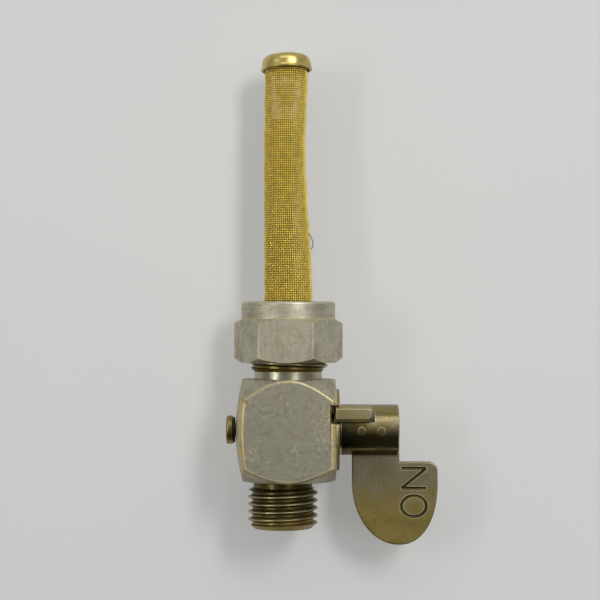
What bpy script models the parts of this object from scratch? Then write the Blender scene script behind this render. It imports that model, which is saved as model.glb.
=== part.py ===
"""Fuel tap with a gauze strainer, a union nut and a lever-turned taper plug.

Metres, +Z up towards the tank, the lever side at +X, the plain front face at -Y.
The origin is the centre of the union nut's mouth, where the tank's spigot screws in.
"""
import math

import bmesh
import bpy
from mathutils import Matrix, Vector

# Clearances
SEAT_GAP = 0.0003        # between pieces that rest on or in each other
FIT_GAP = 0.00015        # around pins, keys and the blade in its slot
RUN_GAP = 0.00012        # round the taper plug and the nut

# Body: square bar with turned ends
BODY_SQUARE = 0.0190
BODY_TOP_Z = -0.0155
BODY_HEIGHT = 0.0204
BODY_EDGE_RADIUS = 0.0011
END_FACE_RADIUS = 0.0093
TOP_CHAMFER_DEG = 48.0
BOTTOM_CHAMFER_DEG = 38.0
DOME_RADIUS = 0.038      # left face, turned slightly convex
DOME_RISE = 0.0011       # how far its middle stands out past the square
BOSS_HEIGHT = 0.0007     # round boss on the right face
BOSS_WALL = 0.0006       # round the groove that the stop lug travels in
BOSS_CHAMFER = 0.0003

# Upper stub, threaded for the union nut
STUB_WALL = 0.0021       # round the strainer's socket
STUB_TOP_Z = -0.0064
STUB_BOTTOM_Z = -0.0134
STUB_CHAMFER = 0.0006
NECK_UNDERCUT = 0.00125
SOCKET_DEPTH = 0.0056

# Outlet spigot, its centre line lies a little to the left of the body's
OUTLET_X = -0.0011
OUTLET_RADIUS = 0.0070
OUTLET_RELIEF_DEPTH = 0.0011
OUTLET_RELIEF_LENGTH = 0.0013
OUTLET_LENGTH = 0.0095
OUTLET_BORE_RADIUS = 0.0035
OUTLET_LEAD_IN = 0.0011
OUTLET_LEAD_DEPTH = 0.00125

# Taper plug, its hub and the passages
PLUG_BIG_RADIUS = 0.0048
PLUG_SMALL_RADIUS = 0.0040
PLUG_END_WALL = 0.0026   # from its small end to the middle of the left face
HUB_STEP = 0.0003        # the hub's shoulder, which bears on the boss
HUB_LENGTH = 0.0116
HUB_END_CHAMFER = 0.0003
PORT_RADIUS = 0.0013
PORT_WALL = 0.00075      # between the standpipe's seat and the reserve port
RESERVE_PORT_RADIUS = 0.0012

# Stop lug and the notch and groove it works in
LUG_WIDTH = 0.0024
LUG_HEIGHT = 0.0032
LUG_BITE = 0.0015        # how deep it is let into the hub's front
LUG_BASE_Z = 0.0018      # above the plug's axis
LUG_SINK = 0.0008        # how far it reaches into the boss
LUG_LENGTH = 0.0077
LUG_CHAMFER = 0.0006
NOTCH_DEPTH = 0.0010
NOTCH_GAP = 0.00025
TURN_DEG = 180.0
STOP_MARGIN_DEG = 1.5

# Lever blade and its pins
BLADE_THICKNESS = 0.0016
BLADE_FROM_SHOULDER = 0.0023
BLADE_WIDTH = 0.0172
BLADE_STEM_PROUD = 0.0002    # past the hub's end
BLADE_TOP_Z = 0.0018     # above the plug's axis, in the hub's slot
BLADE_SHOULDER_DROP = 0.0013    # below the hub
BLADE_WIDEST_Z = -0.0107
BLADE_BOTTOM_Z = -0.0231
BLADE_LOBE_FROM_START = 0.0094
BLADE_CORNER_RADIUS = 0.0019
BLADE_LEFT_POWER = 2.0
BLADE_RIGHT_POWER = 2.2
BLADE_EDGE_BEVEL = 0.0002
PIN_RADIUS = 0.00075
PIN_FROM_BLADE_START = 0.0018
PIN_SPACING = 0.0039

# Retaining screw and spring washer on the left
SCREW_HEAD_RADIUS = 0.00285
SCREW_HEAD_HEIGHT = 0.0013
SCREW_SHANK_RADIUS = 0.0014
SCREW_HOLD_LENGTH = 0.0040
SCREW_SLOT_WIDTH = 0.0006
SCREW_SLOT_DEPTH = 0.0005
WASHER_RADIUS = 0.0026
WASHER_THICKNESS = 0.00035
WASHER_GAP = 0.0001

# Union nut
NUT_WALL = 0.00138       # between its bore and a flat
NUT_HEX_HEIGHT = 0.0088
NUT_COLLAR_HEIGHT = 0.0034
NUT_COLLAR_STEP = 0.00008    # how far the collar lies within the flats
NUT_CHAMFER_DEG = 32.0
NUT_RIM_ROUND = 0.0006

# Tank seal washer
SEAL_THICKNESS = 0.0010

# Strainer: gauze tube with a pressed cap, base ferrule and standpipe
GAUZE_WALL = 0.00035
GAUZE_BASE_RADIUS = 0.00485
GAUZE_TOP_TAPER = 0.0005
GAUZE_WAIST_TAPER = 0.00065
GAUZE_WAIST_Z = 0.031
GAUZE_LEAN_X = -0.0007   # how far the bent tube strays to the left at its waist
GAUZE_TOP_LEAN_X = -0.00038
GAUZE_LEAN_Y = 0.0012    # how far its top leans back
GAUZE_COLUMNS = 24
GAUZE_ROWS = 40
GAUZE_RIDGE = 0.00010
GAP_COLUMN_STEP = 4
GAP_ROW_STEP = 2
FERRULE_WALL = 0.00045
FERRULE_LIP = 0.00025    # how far its lip reaches in past the gauze
FERRULE_FLOOR = 0.0005
CAP_TOP_Z = 0.0494
CAP_HEIGHT = 0.0030
CAP_WALL = 0.0003
CAP_LIP = 0.0002
CAP_TILT_DEG = 3.0       # clockwise as seen from the front
PIPE_RADIUS = 0.0024
PIPE_WALL = 0.0006
PIPE_CLEARANCE = 0.0005  # to the left wall of the gauze
PIPE_TOP_Z = 0.0366
PIPE_SEAT_DEPTH = 0.0040

# Faceting
LARGE_STEPS = 72
ROUND_STEPS = 48
SMALL_STEPS = 24
SMOOTH_ANGLE = math.radians(35)
REACH_PAST = 0.0005      # how far a cutter runs past the face it cuts

# Worked out from the sizes above
BODY_HALF = BODY_SQUARE / 2
BODY_BOTTOM_Z = BODY_TOP_Z - BODY_HEIGHT
PLUG_AXIS_Z = BODY_TOP_Z - BODY_HEIGHT / 2
DOME_APEX = BODY_HALF + DOME_RISE
BOSS_REACH = BODY_HALF + BOSS_HEIGHT
PLUG_SHOULDER_X = BOSS_REACH + SEAT_GAP
PLUG_SMALL_END_X = PLUG_END_WALL - DOME_APEX
HUB_RADIUS = PLUG_BIG_RADIUS + HUB_STEP
HUB_END_X = PLUG_SHOULDER_X + HUB_LENGTH
OUTLET_END_Z = BODY_BOTTOM_Z - OUTLET_LENGTH
SOCKET_RADIUS = GAUZE_BASE_RADIUS + FERRULE_WALL + 2 * SEAT_GAP
STUB_RADIUS = SOCKET_RADIUS + STUB_WALL
NECK_RADIUS = STUB_RADIUS - NECK_UNDERCUT
SOCKET_FLOOR_Z = STUB_TOP_Z - SOCKET_DEPTH
GAUZE_TOP_RADIUS = GAUZE_BASE_RADIUS - GAUZE_TOP_TAPER
GAUZE_WAIST_RADIUS = GAUZE_BASE_RADIUS - GAUZE_WAIST_TAPER
PIPE_X = PIPE_RADIUS + PIPE_CLEARANCE + GAUZE_WALL - GAUZE_BASE_RADIUS
RESERVE_PORT_X = PIPE_X + PIPE_RADIUS + FIT_GAP + PORT_WALL + RESERVE_PORT_RADIUS
NUT_BOTTOM_Z = -(NUT_COLLAR_HEIGHT + NUT_HEX_HEIGHT)
NUT_BORE_RADIUS = STUB_RADIUS + RUN_GAP
NUT_ACROSS_FLATS = 2 * (NUT_BORE_RADIUS + NUT_WALL)
NUT_COLLAR_RADIUS = NUT_ACROSS_FLATS / 2 - NUT_COLLAR_STEP
LUG_START_X = BOSS_REACH - LUG_SINK
LUG_INNER_Y = LUG_BITE - HUB_RADIUS
LUG_OUTER_Y = LUG_INNER_Y - LUG_WIDTH
BLADE_START_X = PLUG_SHOULDER_X + BLADE_FROM_SHOULDER
BLADE_TIP_X = BLADE_START_X + BLADE_WIDTH
BLADE_LOBE_X = BLADE_START_X + BLADE_LOBE_FROM_START
BLADE_STEM_EDGE_X = HUB_END_X + BLADE_STEM_PROUD
BLADE_SHOULDER_Z = -(HUB_RADIUS + BLADE_SHOULDER_DROP)
WASHER_X = -(DOME_APEX + WASHER_GAP)
SCREW_HEAD_X = WASHER_X - WASHER_THICKNESS - WASHER_GAP


def make_material(name, colour, metallic, roughness):
    material = bpy.data.materials.new(name)
    material.use_nodes = True
    shader = material.node_tree.nodes["Principled BSDF"]
    shader.inputs["Base Color"].default_value = (*colour, 1.0)
    shader.inputs["Metallic"].default_value = metallic
    shader.inputs["Roughness"].default_value = roughness
    material.diffuse_color = (*colour, 1.0)
    return material


def add_object(name, bm, material=None, parent=None):
    """Store a bmesh as an object; its faces are turned outwards and shaded smooth."""
    bmesh.ops.remove_doubles(bm, verts=bm.verts[:], dist=1e-7)
    bmesh.ops.recalc_face_normals(bm, faces=bm.faces[:])
    mesh = bpy.data.meshes.new(name)
    bm.to_mesh(mesh)
    bm.free()
    mesh.shade_smooth()
    mesh.set_sharp_from_angle(angle=SMOOTH_ANGLE)
    obj = bpy.data.objects.new(name, mesh)
    bpy.context.scene.collection.objects.link(obj)
    if material is not None:
        mesh.materials.append(material)
    if parent is not None:
        obj.parent = parent
    return obj


def add_cutter(name, bm, parent=None):
    cutter = add_object(name, bm, parent=parent)
    cutter.display_type = 'WIRE'
    cutter.hide_render = True
    return cutter


def add_axis(name, location):
    """An empty on a joint's axis, which carries the pieces that turn about it."""
    empty = bpy.data.objects.new(name, None)
    empty.location = location
    empty.empty_display_size = 0.01
    bpy.context.scene.collection.objects.link(empty)
    return empty


def combine(obj, operation, *tools):
    """Boolean of an object with one or more tool objects, taken together in one step."""
    modifier = obj.modifiers.new(f"{operation.lower()}_{tools[0].name}", 'BOOLEAN')
    modifier.operation = operation
    modifier.solver = 'EXACT'
    if len(tools) == 1:
        modifier.object = tools[0]
        return
    group = bpy.data.collections.new(f"{obj.name}_{operation.lower()}")
    for tool in tools:
        group.objects.link(tool)
    modifier.operand_type = 'COLLECTION'
    modifier.collection = group


def turned(outline, steps=ROUND_STEPS, ring=False, along='Z', centre=(0, 0, 0)):
    """Spin (radius, height) points round an axis; a ring's outline closes on itself."""
    bm = bmesh.new()
    verts = [bm.verts.new((radius, 0, height)) for radius, height in outline]
    edges = [bm.edges.new(pair) for pair in zip(verts, verts[1:])]
    if ring:
        edges.append(bm.edges.new((verts[-1], verts[0])))
    bmesh.ops.spin(bm, geom=verts + edges, cent=(0, 0, 0), axis=(0, 0, 1),
                   angle=math.tau, steps=steps, use_merge=True)
    if along == 'X':
        bmesh.ops.rotate(bm, verts=bm.verts[:], cent=(0, 0, 0),
                         matrix=Matrix.Rotation(math.pi / 2, 3, 'Y'))
    bmesh.ops.translate(bm, verts=bm.verts[:], vec=centre)
    return bm


def rod(radius, start, end, along='Z', centre=(0, 0, 0), steps=SMALL_STEPS):
    return turned([(0, end), (radius, end), (radius, start), (0, start)], steps,
                  along=along, centre=centre)


def box(low, high):
    bm = bmesh.new()
    bmesh.ops.create_cube(bm, size=1.0)
    size = Vector(high) - Vector(low)
    bmesh.ops.scale(bm, vec=size, verts=bm.verts[:])
    bmesh.ops.translate(bm, vec=(Vector(high) + Vector(low)) / 2, verts=bm.verts[:])
    return bm


def arc(centre, radius, start_deg, end_deg, count):
    """Points on an arc, both ends included."""
    points = []
    for step in range(count + 1):
        angle = math.radians(start_deg + (end_deg - start_deg) * step / count)
        points.append((centre[0] + radius * math.cos(angle),
                       centre[1] + radius * math.sin(angle)))
    return points


def skin(bm, rings, closed_ends=True):
    """Join rings of points, all of one length, into a tube with or without end faces."""
    loops = [[bm.verts.new(point) for point in ring] for ring in rings]
    count = len(loops[0])
    for lower, upper in zip(loops, loops[1:]):
        for i in range(count):
            j = (i + 1) % count
            bm.faces.new((lower[i], lower[j], upper[j], upper[i]))
    if closed_ends:
        bm.faces.new(loops[0])
        bm.faces.new(loops[-1])
    return loops


def dome_x(y, z):
    """Left face of the body: how far it bulges at a height z above the plug's axis."""
    return -DOME_APEX + (y * y + z * z) / (2 * DOME_RADIUS)


def block_section(z):
    """Outline of the square bar at a height above the plug's axis, left side domed."""
    inner = BODY_HALF - BODY_EDGE_RADIUS
    points = []
    points += arc((inner, -inner), BODY_EDGE_RADIUS, -90, 0, 3)
    points += arc((inner, inner), BODY_EDGE_RADIUS, 0, 90, 3)
    left_steps = 8
    for corner, start in ((1, 90), (-1, 180)):
        side = []
        for x, y in arc((0, corner * inner), BODY_EDGE_RADIUS, start, start + 90, 3):
            side.append((dome_x(inner, z) + BODY_EDGE_RADIUS + x, y))
        points += side
        if corner == 1:
            for step in range(1, left_steps):
                y = inner - 2 * inner * step / left_steps
                points.append((dome_x(y, z), y))
    return points


def build_body(plated):
    bm = bmesh.new()
    levels = 12
    rings = []
    for level in range(levels + 1):
        z = BODY_HEIGHT * (level / levels - 0.5)
        rings.append([(x, y, PLUG_AXIS_Z + z) for x, y in block_section(z)])
    skin(bm, rings)
    body = add_object("body", bm, plated)

    corner = (BODY_HALF - BODY_EDGE_RADIUS) * math.sqrt(2) + BODY_EDGE_RADIUS
    reach = corner + REACH_PAST
    slope_run = reach - END_FACE_RADIUS
    top_fall = slope_run * math.tan(math.radians(TOP_CHAMFER_DEG))
    bottom_rise = slope_run * math.tan(math.radians(BOTTOM_CHAMFER_DEG))
    envelope = [(0, BODY_TOP_Z), (END_FACE_RADIUS, BODY_TOP_Z), (reach, BODY_TOP_Z - top_fall),
                (reach, BODY_BOTTOM_Z + bottom_rise), (END_FACE_RADIUS, BODY_BOTTOM_Z),
                (0, BODY_BOTTOM_Z)]
    combine(body, 'INTERSECT', add_cutter("turned_envelope", turned(envelope, LARGE_STEPS)))

    boss_radius = groove_radius() + BOSS_WALL
    boss = [(0, BOSS_REACH), (boss_radius - BOSS_CHAMFER, BOSS_REACH),
            (boss_radius, BOSS_REACH - BOSS_CHAMFER), (boss_radius, 0), (0, 0)]
    boss_tool = add_cutter("right_boss", turned(boss, along='X', centre=(0, 0, PLUG_AXIS_Z)))

    stub = [(0, STUB_TOP_Z), (STUB_RADIUS - STUB_CHAMFER, STUB_TOP_Z),
            (STUB_RADIUS, STUB_TOP_Z - STUB_CHAMFER), (STUB_RADIUS, STUB_BOTTOM_Z + STUB_CHAMFER),
            (NECK_RADIUS, STUB_BOTTOM_Z - STUB_CHAMFER), (NECK_RADIUS, PLUG_AXIS_Z),
            (0, PLUG_AXIS_Z)]
    stub_tool = add_cutter("upper_stub", turned(stub))

    relief_end = BODY_BOTTOM_Z - OUTLET_RELIEF_LENGTH
    relief_radius = OUTLET_RADIUS - OUTLET_RELIEF_DEPTH
    outlet = [(0, PLUG_AXIS_Z), (relief_radius, PLUG_AXIS_Z), (relief_radius, relief_end),
              (OUTLET_RADIUS, relief_end - OUTLET_RELIEF_DEPTH / 2),
              (OUTLET_RADIUS, OUTLET_END_Z + OUTLET_LEAD_IN),
              (OUTLET_RADIUS - OUTLET_LEAD_DEPTH, OUTLET_END_Z), (0, OUTLET_END_Z)]
    outlet_tool = add_cutter("outlet_spigot", turned(outlet, centre=(OUTLET_X, 0, 0)))
    combine(body, 'UNION', boss_tool, stub_tool, outlet_tool)

    bore_big = PLUG_BIG_RADIUS + RUN_GAP
    bore_small = PLUG_SMALL_RADIUS + RUN_GAP
    bore = [(0, BOSS_REACH + REACH_PAST), (bore_big, BOSS_REACH + REACH_PAST),
            (bore_big, LUG_START_X), (bore_small, PLUG_SMALL_END_X - SEAT_GAP),
            (0, PLUG_SMALL_END_X - SEAT_GAP)]
    axis_point = (0, 0, PLUG_AXIS_Z)
    cuts = [add_cutter("taper_bore", turned(bore, along='X', centre=axis_point))]
    screw_way = rod(SCREW_SHANK_RADIUS + SEAT_GAP, -DOME_APEX - REACH_PAST, PLUG_SMALL_END_X,
                    'X', axis_point)
    cuts.append(add_cutter("screw_way", screw_way))

    cuts.append(add_cutter("stop_groove", stop_groove()))
    notch = box((BODY_HALF - NOTCH_DEPTH, -BODY_HALF - REACH_PAST,
                 PLUG_AXIS_Z + LUG_BASE_Z - NOTCH_GAP),
                (BOSS_REACH + REACH_PAST, LUG_INNER_Y,
                 PLUG_AXIS_Z + LUG_BASE_Z + LUG_HEIGHT + NOTCH_GAP))
    cuts.append(add_cutter("stop_notch", notch))

    socket = rod(SOCKET_RADIUS, SOCKET_FLOOR_Z, STUB_TOP_Z + REACH_PAST, steps=ROUND_STEPS)
    cuts.append(add_cutter("strainer_socket", socket))
    seat_floor = SOCKET_FLOOR_Z - PIPE_SEAT_DEPTH
    pipe_seat = turned([(0, SOCKET_FLOOR_Z + REACH_PAST),
                        (PIPE_RADIUS + FIT_GAP, SOCKET_FLOOR_Z + REACH_PAST),
                        (PIPE_RADIUS + FIT_GAP, seat_floor), (PORT_RADIUS, seat_floor),
                        (PORT_RADIUS, PLUG_AXIS_Z), (0, PLUG_AXIS_Z)],
                       SMALL_STEPS, centre=(PIPE_X, 0, 0))
    cuts.append(add_cutter("pipe_seat_and_port", pipe_seat))
    reserve = rod(RESERVE_PORT_RADIUS, PLUG_AXIS_Z, SOCKET_FLOOR_Z + REACH_PAST,
                  centre=(RESERVE_PORT_X, 0, 0))
    cuts.append(add_cutter("reserve_port", reserve))
    outlet_top = PLUG_AXIS_Z - PLUG_SMALL_RADIUS / 2
    outlet_bore = rod(OUTLET_BORE_RADIUS, OUTLET_END_Z - REACH_PAST, outlet_top,
                      centre=(OUTLET_X, 0, 0), steps=ROUND_STEPS)
    cuts.append(add_cutter("outlet_bore", outlet_bore))
    combine(body, 'DIFFERENCE', *cuts)
    return body


def lug_angles():
    """Angles about the plug's axis that the lug's corners reach, from +Y towards +Z."""
    low, high = LUG_BASE_Z, LUG_BASE_Z + LUG_HEIGHT
    corners = [(y, z) for y in (LUG_INNER_Y, LUG_OUTER_Y) for z in (low, high)]
    angles = [math.degrees(math.atan2(z, y)) for y, z in corners]
    return min(angles), max(angles)


def groove_radius():
    """Outer radius of the groove: past the lug's farthest corner, its upper one chamfered."""
    low, high = LUG_BASE_Z, LUG_BASE_Z + LUG_HEIGHT
    corners = [(LUG_OUTER_Y, low), (LUG_OUTER_Y, high - LUG_CHAMFER),
               (LUG_OUTER_Y + LUG_CHAMFER, high)]
    return max(math.hypot(y, z) for y, z in corners) + FIT_GAP


def stop_groove():
    """Part of a ring cut into the right face, from the lug's rest to its far stop."""
    first, last = lug_angles()
    start = math.radians(first - STOP_MARGIN_DEG)
    sweep = math.radians(last - first + TURN_DEG + 2 * STOP_MARGIN_DEG)
    floor = LUG_START_X - NOTCH_GAP
    inner, mouth = PLUG_SMALL_RADIUS, BOSS_REACH + REACH_PAST
    outer = groove_radius()
    section = [(inner, floor), (outer, floor), (outer, mouth), (inner, mouth)]
    rings = []
    for step in range(ROUND_STEPS + 1):
        angle = start + sweep * step / ROUND_STEPS
        rings.append([(x, radius * math.cos(angle), PLUG_AXIS_Z + radius * math.sin(angle))
                      for radius, x in section])
    bm = bmesh.new()
    skin(bm, rings)
    return bm


def build_plug(patina, axis):
    """Taper plug and hub in one piece, with its passages, slot and key seat."""
    plug = [(0, HUB_END_X), (HUB_RADIUS - HUB_END_CHAMFER, HUB_END_X),
            (HUB_RADIUS, HUB_END_X - HUB_END_CHAMFER), (HUB_RADIUS, PLUG_SHOULDER_X),
            (PLUG_BIG_RADIUS, PLUG_SHOULDER_X), (PLUG_BIG_RADIUS, LUG_START_X),
            (PLUG_SMALL_RADIUS, PLUG_SMALL_END_X), (0, PLUG_SMALL_END_X)]
    obj = add_object("taper_plug", turned(plug, along='X'), patina, axis)

    through = rod(PORT_RADIUS, -PLUG_BIG_RADIUS - REACH_PAST, PLUG_BIG_RADIUS + REACH_PAST,
                  centre=(PIPE_X, 0, 0))
    cuts = [add_cutter("plug_through_port", through, axis)]
    slant_from = Vector((RESERVE_PORT_X, 0, -PLUG_BIG_RADIUS))
    slant_to = Vector((PIPE_X, 0, 0))
    direction = (slant_to - slant_from).normalized()
    slant = rod(RESERVE_PORT_RADIUS, -2 * REACH_PAST, (slant_to - slant_from).length)
    bmesh.ops.rotate(slant, verts=slant.verts[:], cent=(0, 0, 0),
                     matrix=Vector((0, 0, 1)).rotation_difference(direction).to_matrix())
    bmesh.ops.translate(slant, verts=slant.verts[:], vec=slant_from)
    cuts.append(add_cutter("plug_slanted_port", slant, axis))

    tapped = rod(SCREW_SHANK_RADIUS + FIT_GAP, PLUG_SMALL_END_X - REACH_PAST,
                 PLUG_SMALL_END_X + SCREW_HOLD_LENGTH + SEAT_GAP, 'X')
    cuts.append(add_cutter("plug_screw_hole", tapped, axis))

    half_slot = BLADE_THICKNESS / 2 + FIT_GAP
    slot = box((BLADE_START_X - FIT_GAP, -half_slot, -HUB_RADIUS - REACH_PAST),
               (HUB_END_X + REACH_PAST, half_slot, BLADE_TOP_Z + FIT_GAP))
    cuts.append(add_cutter("blade_slot", slot, axis))
    seat = box((LUG_START_X - FIT_GAP, LUG_OUTER_Y - FIT_GAP, LUG_BASE_Z - FIT_GAP),
               (LUG_START_X + LUG_LENGTH + FIT_GAP, LUG_INNER_Y + FIT_GAP,
                LUG_BASE_Z + LUG_HEIGHT + FIT_GAP))
    cuts.append(add_cutter("lug_seat", seat, axis))
    for number, x in enumerate(pin_places()):
        hole = pin_rod(x, PIN_RADIUS + FIT_GAP, HUB_RADIUS + REACH_PAST)
        cuts.append(add_cutter(f"hub_pin_hole_{number}", hole, axis))
    combine(obj, 'DIFFERENCE', *cuts)
    return obj


def pin_places():
    first = BLADE_START_X + PIN_FROM_BLADE_START
    return [first, first + PIN_SPACING]


def pin_rod(x, radius, half_length):
    """A cross pin or its hole: a rod along Y through the plug's axis."""
    bm = rod(radius, -half_length, half_length, steps=SMALL_STEPS)
    bmesh.ops.rotate(bm, verts=bm.verts[:], cent=(0, 0, 0),
                     matrix=Matrix.Rotation(math.pi / 2, 3, 'X'))
    bmesh.ops.translate(bm, verts=bm.verts[:], vec=(x, 0, 0))
    return bm


def build_lug(patina, axis):
    """Bar let into the hub; its outer upper edge and outer end are chamfered."""
    low, high = LUG_BASE_Z, LUG_BASE_Z + LUG_HEIGHT
    end_x = LUG_START_X + LUG_LENGTH
    section = [(LUG_INNER_Y, low), (LUG_OUTER_Y, low), (LUG_OUTER_Y, high - LUG_CHAMFER),
               (LUG_OUTER_Y + LUG_CHAMFER, high), (LUG_INNER_Y, high)]
    middle = Vector(((LUG_INNER_Y + LUG_OUTER_Y) / 2, (low + high) / 2))
    rings = []
    for x, shrink in ((LUG_START_X, 0), (end_x - LUG_CHAMFER, 0), (end_x, LUG_CHAMFER)):
        ring = []
        for y, z in section:
            towards_y = math.copysign(shrink / 2, middle.x - y)
            towards_z = math.copysign(shrink / 2, middle.y - z)
            ring.append((x, y + towards_y, z + towards_z))
        rings.append(ring)
    bm = bmesh.new()
    skin(bm, rings)
    return add_object("stop_lug", bm, patina, axis)


def blade_outline():
    """Blade seen from the front, x and height above the plug's axis, clockwise."""
    depth = BLADE_WIDEST_Z - BLADE_BOTTOM_Z
    points = [(BLADE_START_X, BLADE_TOP_Z), (BLADE_STEM_EDGE_X, BLADE_TOP_Z),
              (BLADE_STEM_EDGE_X, BLADE_SHOULDER_Z)]
    corner = (BLADE_TIP_X - BLADE_CORNER_RADIUS, BLADE_SHOULDER_Z - BLADE_CORNER_RADIUS)
    points += arc(corner, BLADE_CORNER_RADIUS, 90, 8, 5)
    quarter = 12
    for step in range(quarter + 1):
        angle = math.pi / 2 * step / quarter
        power = 2 / BLADE_RIGHT_POWER
        points.append((BLADE_LOBE_X + (BLADE_TIP_X - BLADE_LOBE_X) * math.cos(angle) ** power,
                       BLADE_WIDEST_Z - depth * math.sin(angle) ** power))
    for step in range(1, quarter + 1):
        angle = math.pi / 2 * (1 - step / quarter)
        power = 2 / BLADE_LEFT_POWER
        points.append((BLADE_LOBE_X - (BLADE_LOBE_X - BLADE_START_X) * math.cos(angle) ** power,
                       BLADE_WIDEST_Z - depth * math.sin(angle) ** power))
    return points


def build_blade(patina, axis):
    bm = bmesh.new()
    front = [(x, -BLADE_THICKNESS / 2, z) for x, z in blade_outline()]
    back = [(x, BLADE_THICKNESS / 2, z) for x, z in blade_outline()]
    skin(bm, [front, back])
    rim = [edge for edge in bm.edges if len({round(v.co.y, 6) for v in edge.verts}) == 1]
    bmesh.ops.bevel(bm, geom=rim, offset=BLADE_EDGE_BEVEL, segments=1, affect='EDGES',
                    clamp_overlap=True)
    obj = add_object("lever_blade", bm, patina, axis)
    holes = [pin_rod(x, PIN_RADIUS + FIT_GAP, BLADE_THICKNESS) for x in pin_places()]
    combine(obj, 'DIFFERENCE', *[add_cutter(f"blade_pin_hole_{number}", hole, axis)
                                 for number, hole in enumerate(holes)])


def build_pins(patina, axis):
    half = HUB_RADIUS - PIN_RADIUS * PIN_RADIUS / HUB_RADIUS
    for name, x in zip(("lever_pin_left", "lever_pin_right"), pin_places()):
        add_object(name, pin_rod(x, PIN_RADIUS, half), patina, axis)


def build_screw(bronze, dark_steel, axis):
    head_end = SCREW_HEAD_X - SCREW_HEAD_HEIGHT
    shank_end = PLUG_SMALL_END_X + SCREW_HOLD_LENGTH
    rounding = SCREW_HEAD_HEIGHT / 3
    outline = [(0, shank_end), (SCREW_SHANK_RADIUS, shank_end), (SCREW_SHANK_RADIUS, SCREW_HEAD_X),
               (SCREW_HEAD_RADIUS, SCREW_HEAD_X)]
    outline += arc((SCREW_HEAD_RADIUS - rounding, head_end + rounding), rounding, 0, -90, 4)
    outline.append((0, head_end))
    screw = add_object("retaining_screw", turned(outline, along='X'), bronze, axis)
    slot = box((head_end - REACH_PAST, -SCREW_HEAD_RADIUS - REACH_PAST, -SCREW_SLOT_WIDTH / 2),
               (head_end + SCREW_SLOT_DEPTH, SCREW_HEAD_RADIUS + REACH_PAST, SCREW_SLOT_WIDTH / 2))
    combine(screw, 'DIFFERENCE', add_cutter("screw_slot", slot, axis))

    inner = SCREW_SHANK_RADIUS + FIT_GAP
    washer = [(inner, WASHER_X), (WASHER_RADIUS, WASHER_X),
              (WASHER_RADIUS, WASHER_X - WASHER_THICKNESS), (inner, WASHER_X - WASHER_THICKNESS)]
    add_object("spring_washer", turned(washer, ring=True, along='X'), dark_steel, axis)


def build_nut(plated, axis):
    """Hexagon with both ends chamfered, a round collar with a rounded rim, and its bore."""
    corner = NUT_ACROSS_FLATS / 2 / math.cos(math.pi / 6)
    hexagon = bmesh.new()
    rings = []
    for z in (NUT_BOTTOM_Z, -NUT_COLLAR_HEIGHT):
        rings.append([(corner * math.cos(k * math.pi / 3), corner * math.sin(k * math.pi / 3), z)
                      for k in range(6)])
    skin(hexagon, rings)
    nut = add_object("union_nut", hexagon, plated, axis)
    start = NUT_COLLAR_RADIUS
    widest = corner + REACH_PAST
    fall = (widest - start) * math.tan(math.radians(NUT_CHAMFER_DEG))
    envelope = [(0, -NUT_COLLAR_HEIGHT), (start, -NUT_COLLAR_HEIGHT),
                (widest, -NUT_COLLAR_HEIGHT - fall), (widest, NUT_BOTTOM_Z + fall),
                (start, NUT_BOTTOM_Z), (0, NUT_BOTTOM_Z)]
    combine(nut, 'INTERSECT', add_cutter("nut_envelope", turned(envelope, LARGE_STEPS), axis))
    rim = arc((NUT_COLLAR_RADIUS - NUT_RIM_ROUND, -NUT_RIM_ROUND), NUT_RIM_ROUND, 90, 0, 4)
    inside_z = -NUT_COLLAR_HEIGHT - NUT_HEX_HEIGHT / 2
    collar = [(0, 0)] + rim + [(NUT_COLLAR_RADIUS, inside_z), (0, inside_z)]
    combine(nut, 'UNION', add_cutter("nut_collar", turned(collar, LARGE_STEPS), axis))
    bore = rod(NUT_BORE_RADIUS, NUT_BOTTOM_Z - REACH_PAST, REACH_PAST, steps=ROUND_STEPS)
    combine(nut, 'DIFFERENCE', add_cutter("nut_bore", bore, axis))
    return nut


def build_seal(fibre):
    """Flat ring on the stub's end, as wide as the wall round the strainer's socket."""
    bottom = STUB_TOP_Z + SEAT_GAP
    inner, outer = SOCKET_RADIUS + SEAT_GAP, STUB_RADIUS - SEAT_GAP
    outline = [(inner, bottom + SEAL_THICKNESS), (outer, bottom + SEAL_THICKNESS),
               (outer, bottom), (inner, bottom)]
    add_object("tank_seal_washer", turned(outline, ring=True), fibre)


def gauze_floor():
    """Height on which the gauze stands, just above the ferrule's lip."""
    return SOCKET_FLOOR_Z + SEAT_GAP + FERRULE_FLOOR + SEAT_GAP


def gauze_place(z):
    """Centre x and y and outer radius of the slightly bent gauze tube at a height."""
    top = CAP_TOP_Z - CAP_WALL - SEAT_GAP
    if z <= 0:
        return 0.0, 0.0, GAUZE_BASE_RADIUS
    back = GAUZE_LEAN_Y * (z / top) ** 3
    if z <= GAUZE_WAIST_Z:
        share = z / GAUZE_WAIST_Z
        ease = share * share * (3 - 2 * share)
        return (GAUZE_LEAN_X * ease, back,
                GAUZE_BASE_RADIUS + (GAUZE_WAIST_RADIUS - GAUZE_BASE_RADIUS) * ease)
    share = (z - GAUZE_WAIST_Z) / (top - GAUZE_WAIST_Z)
    ease = share * share * (3 - 2 * share)
    return (GAUZE_LEAN_X + (GAUZE_TOP_LEAN_X - GAUZE_LEAN_X) * ease, back,
            GAUZE_WAIST_RADIUS + (GAUZE_TOP_RADIUS - GAUZE_WAIST_RADIUS) * ease)


def gauze_ring(z, inset, ridge):
    """Points round the tube; every other one stands proud by the ridge's height."""
    centre_x, centre_y, radius = gauze_place(z)
    points = []
    for column in range(GAUZE_COLUMNS):
        angle = math.tau * column / GAUZE_COLUMNS
        out = radius - inset - (ridge if column % 2 else 0)
        points.append((centre_x + out * math.cos(angle), centre_y + out * math.sin(angle), z))
    return points


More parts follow.
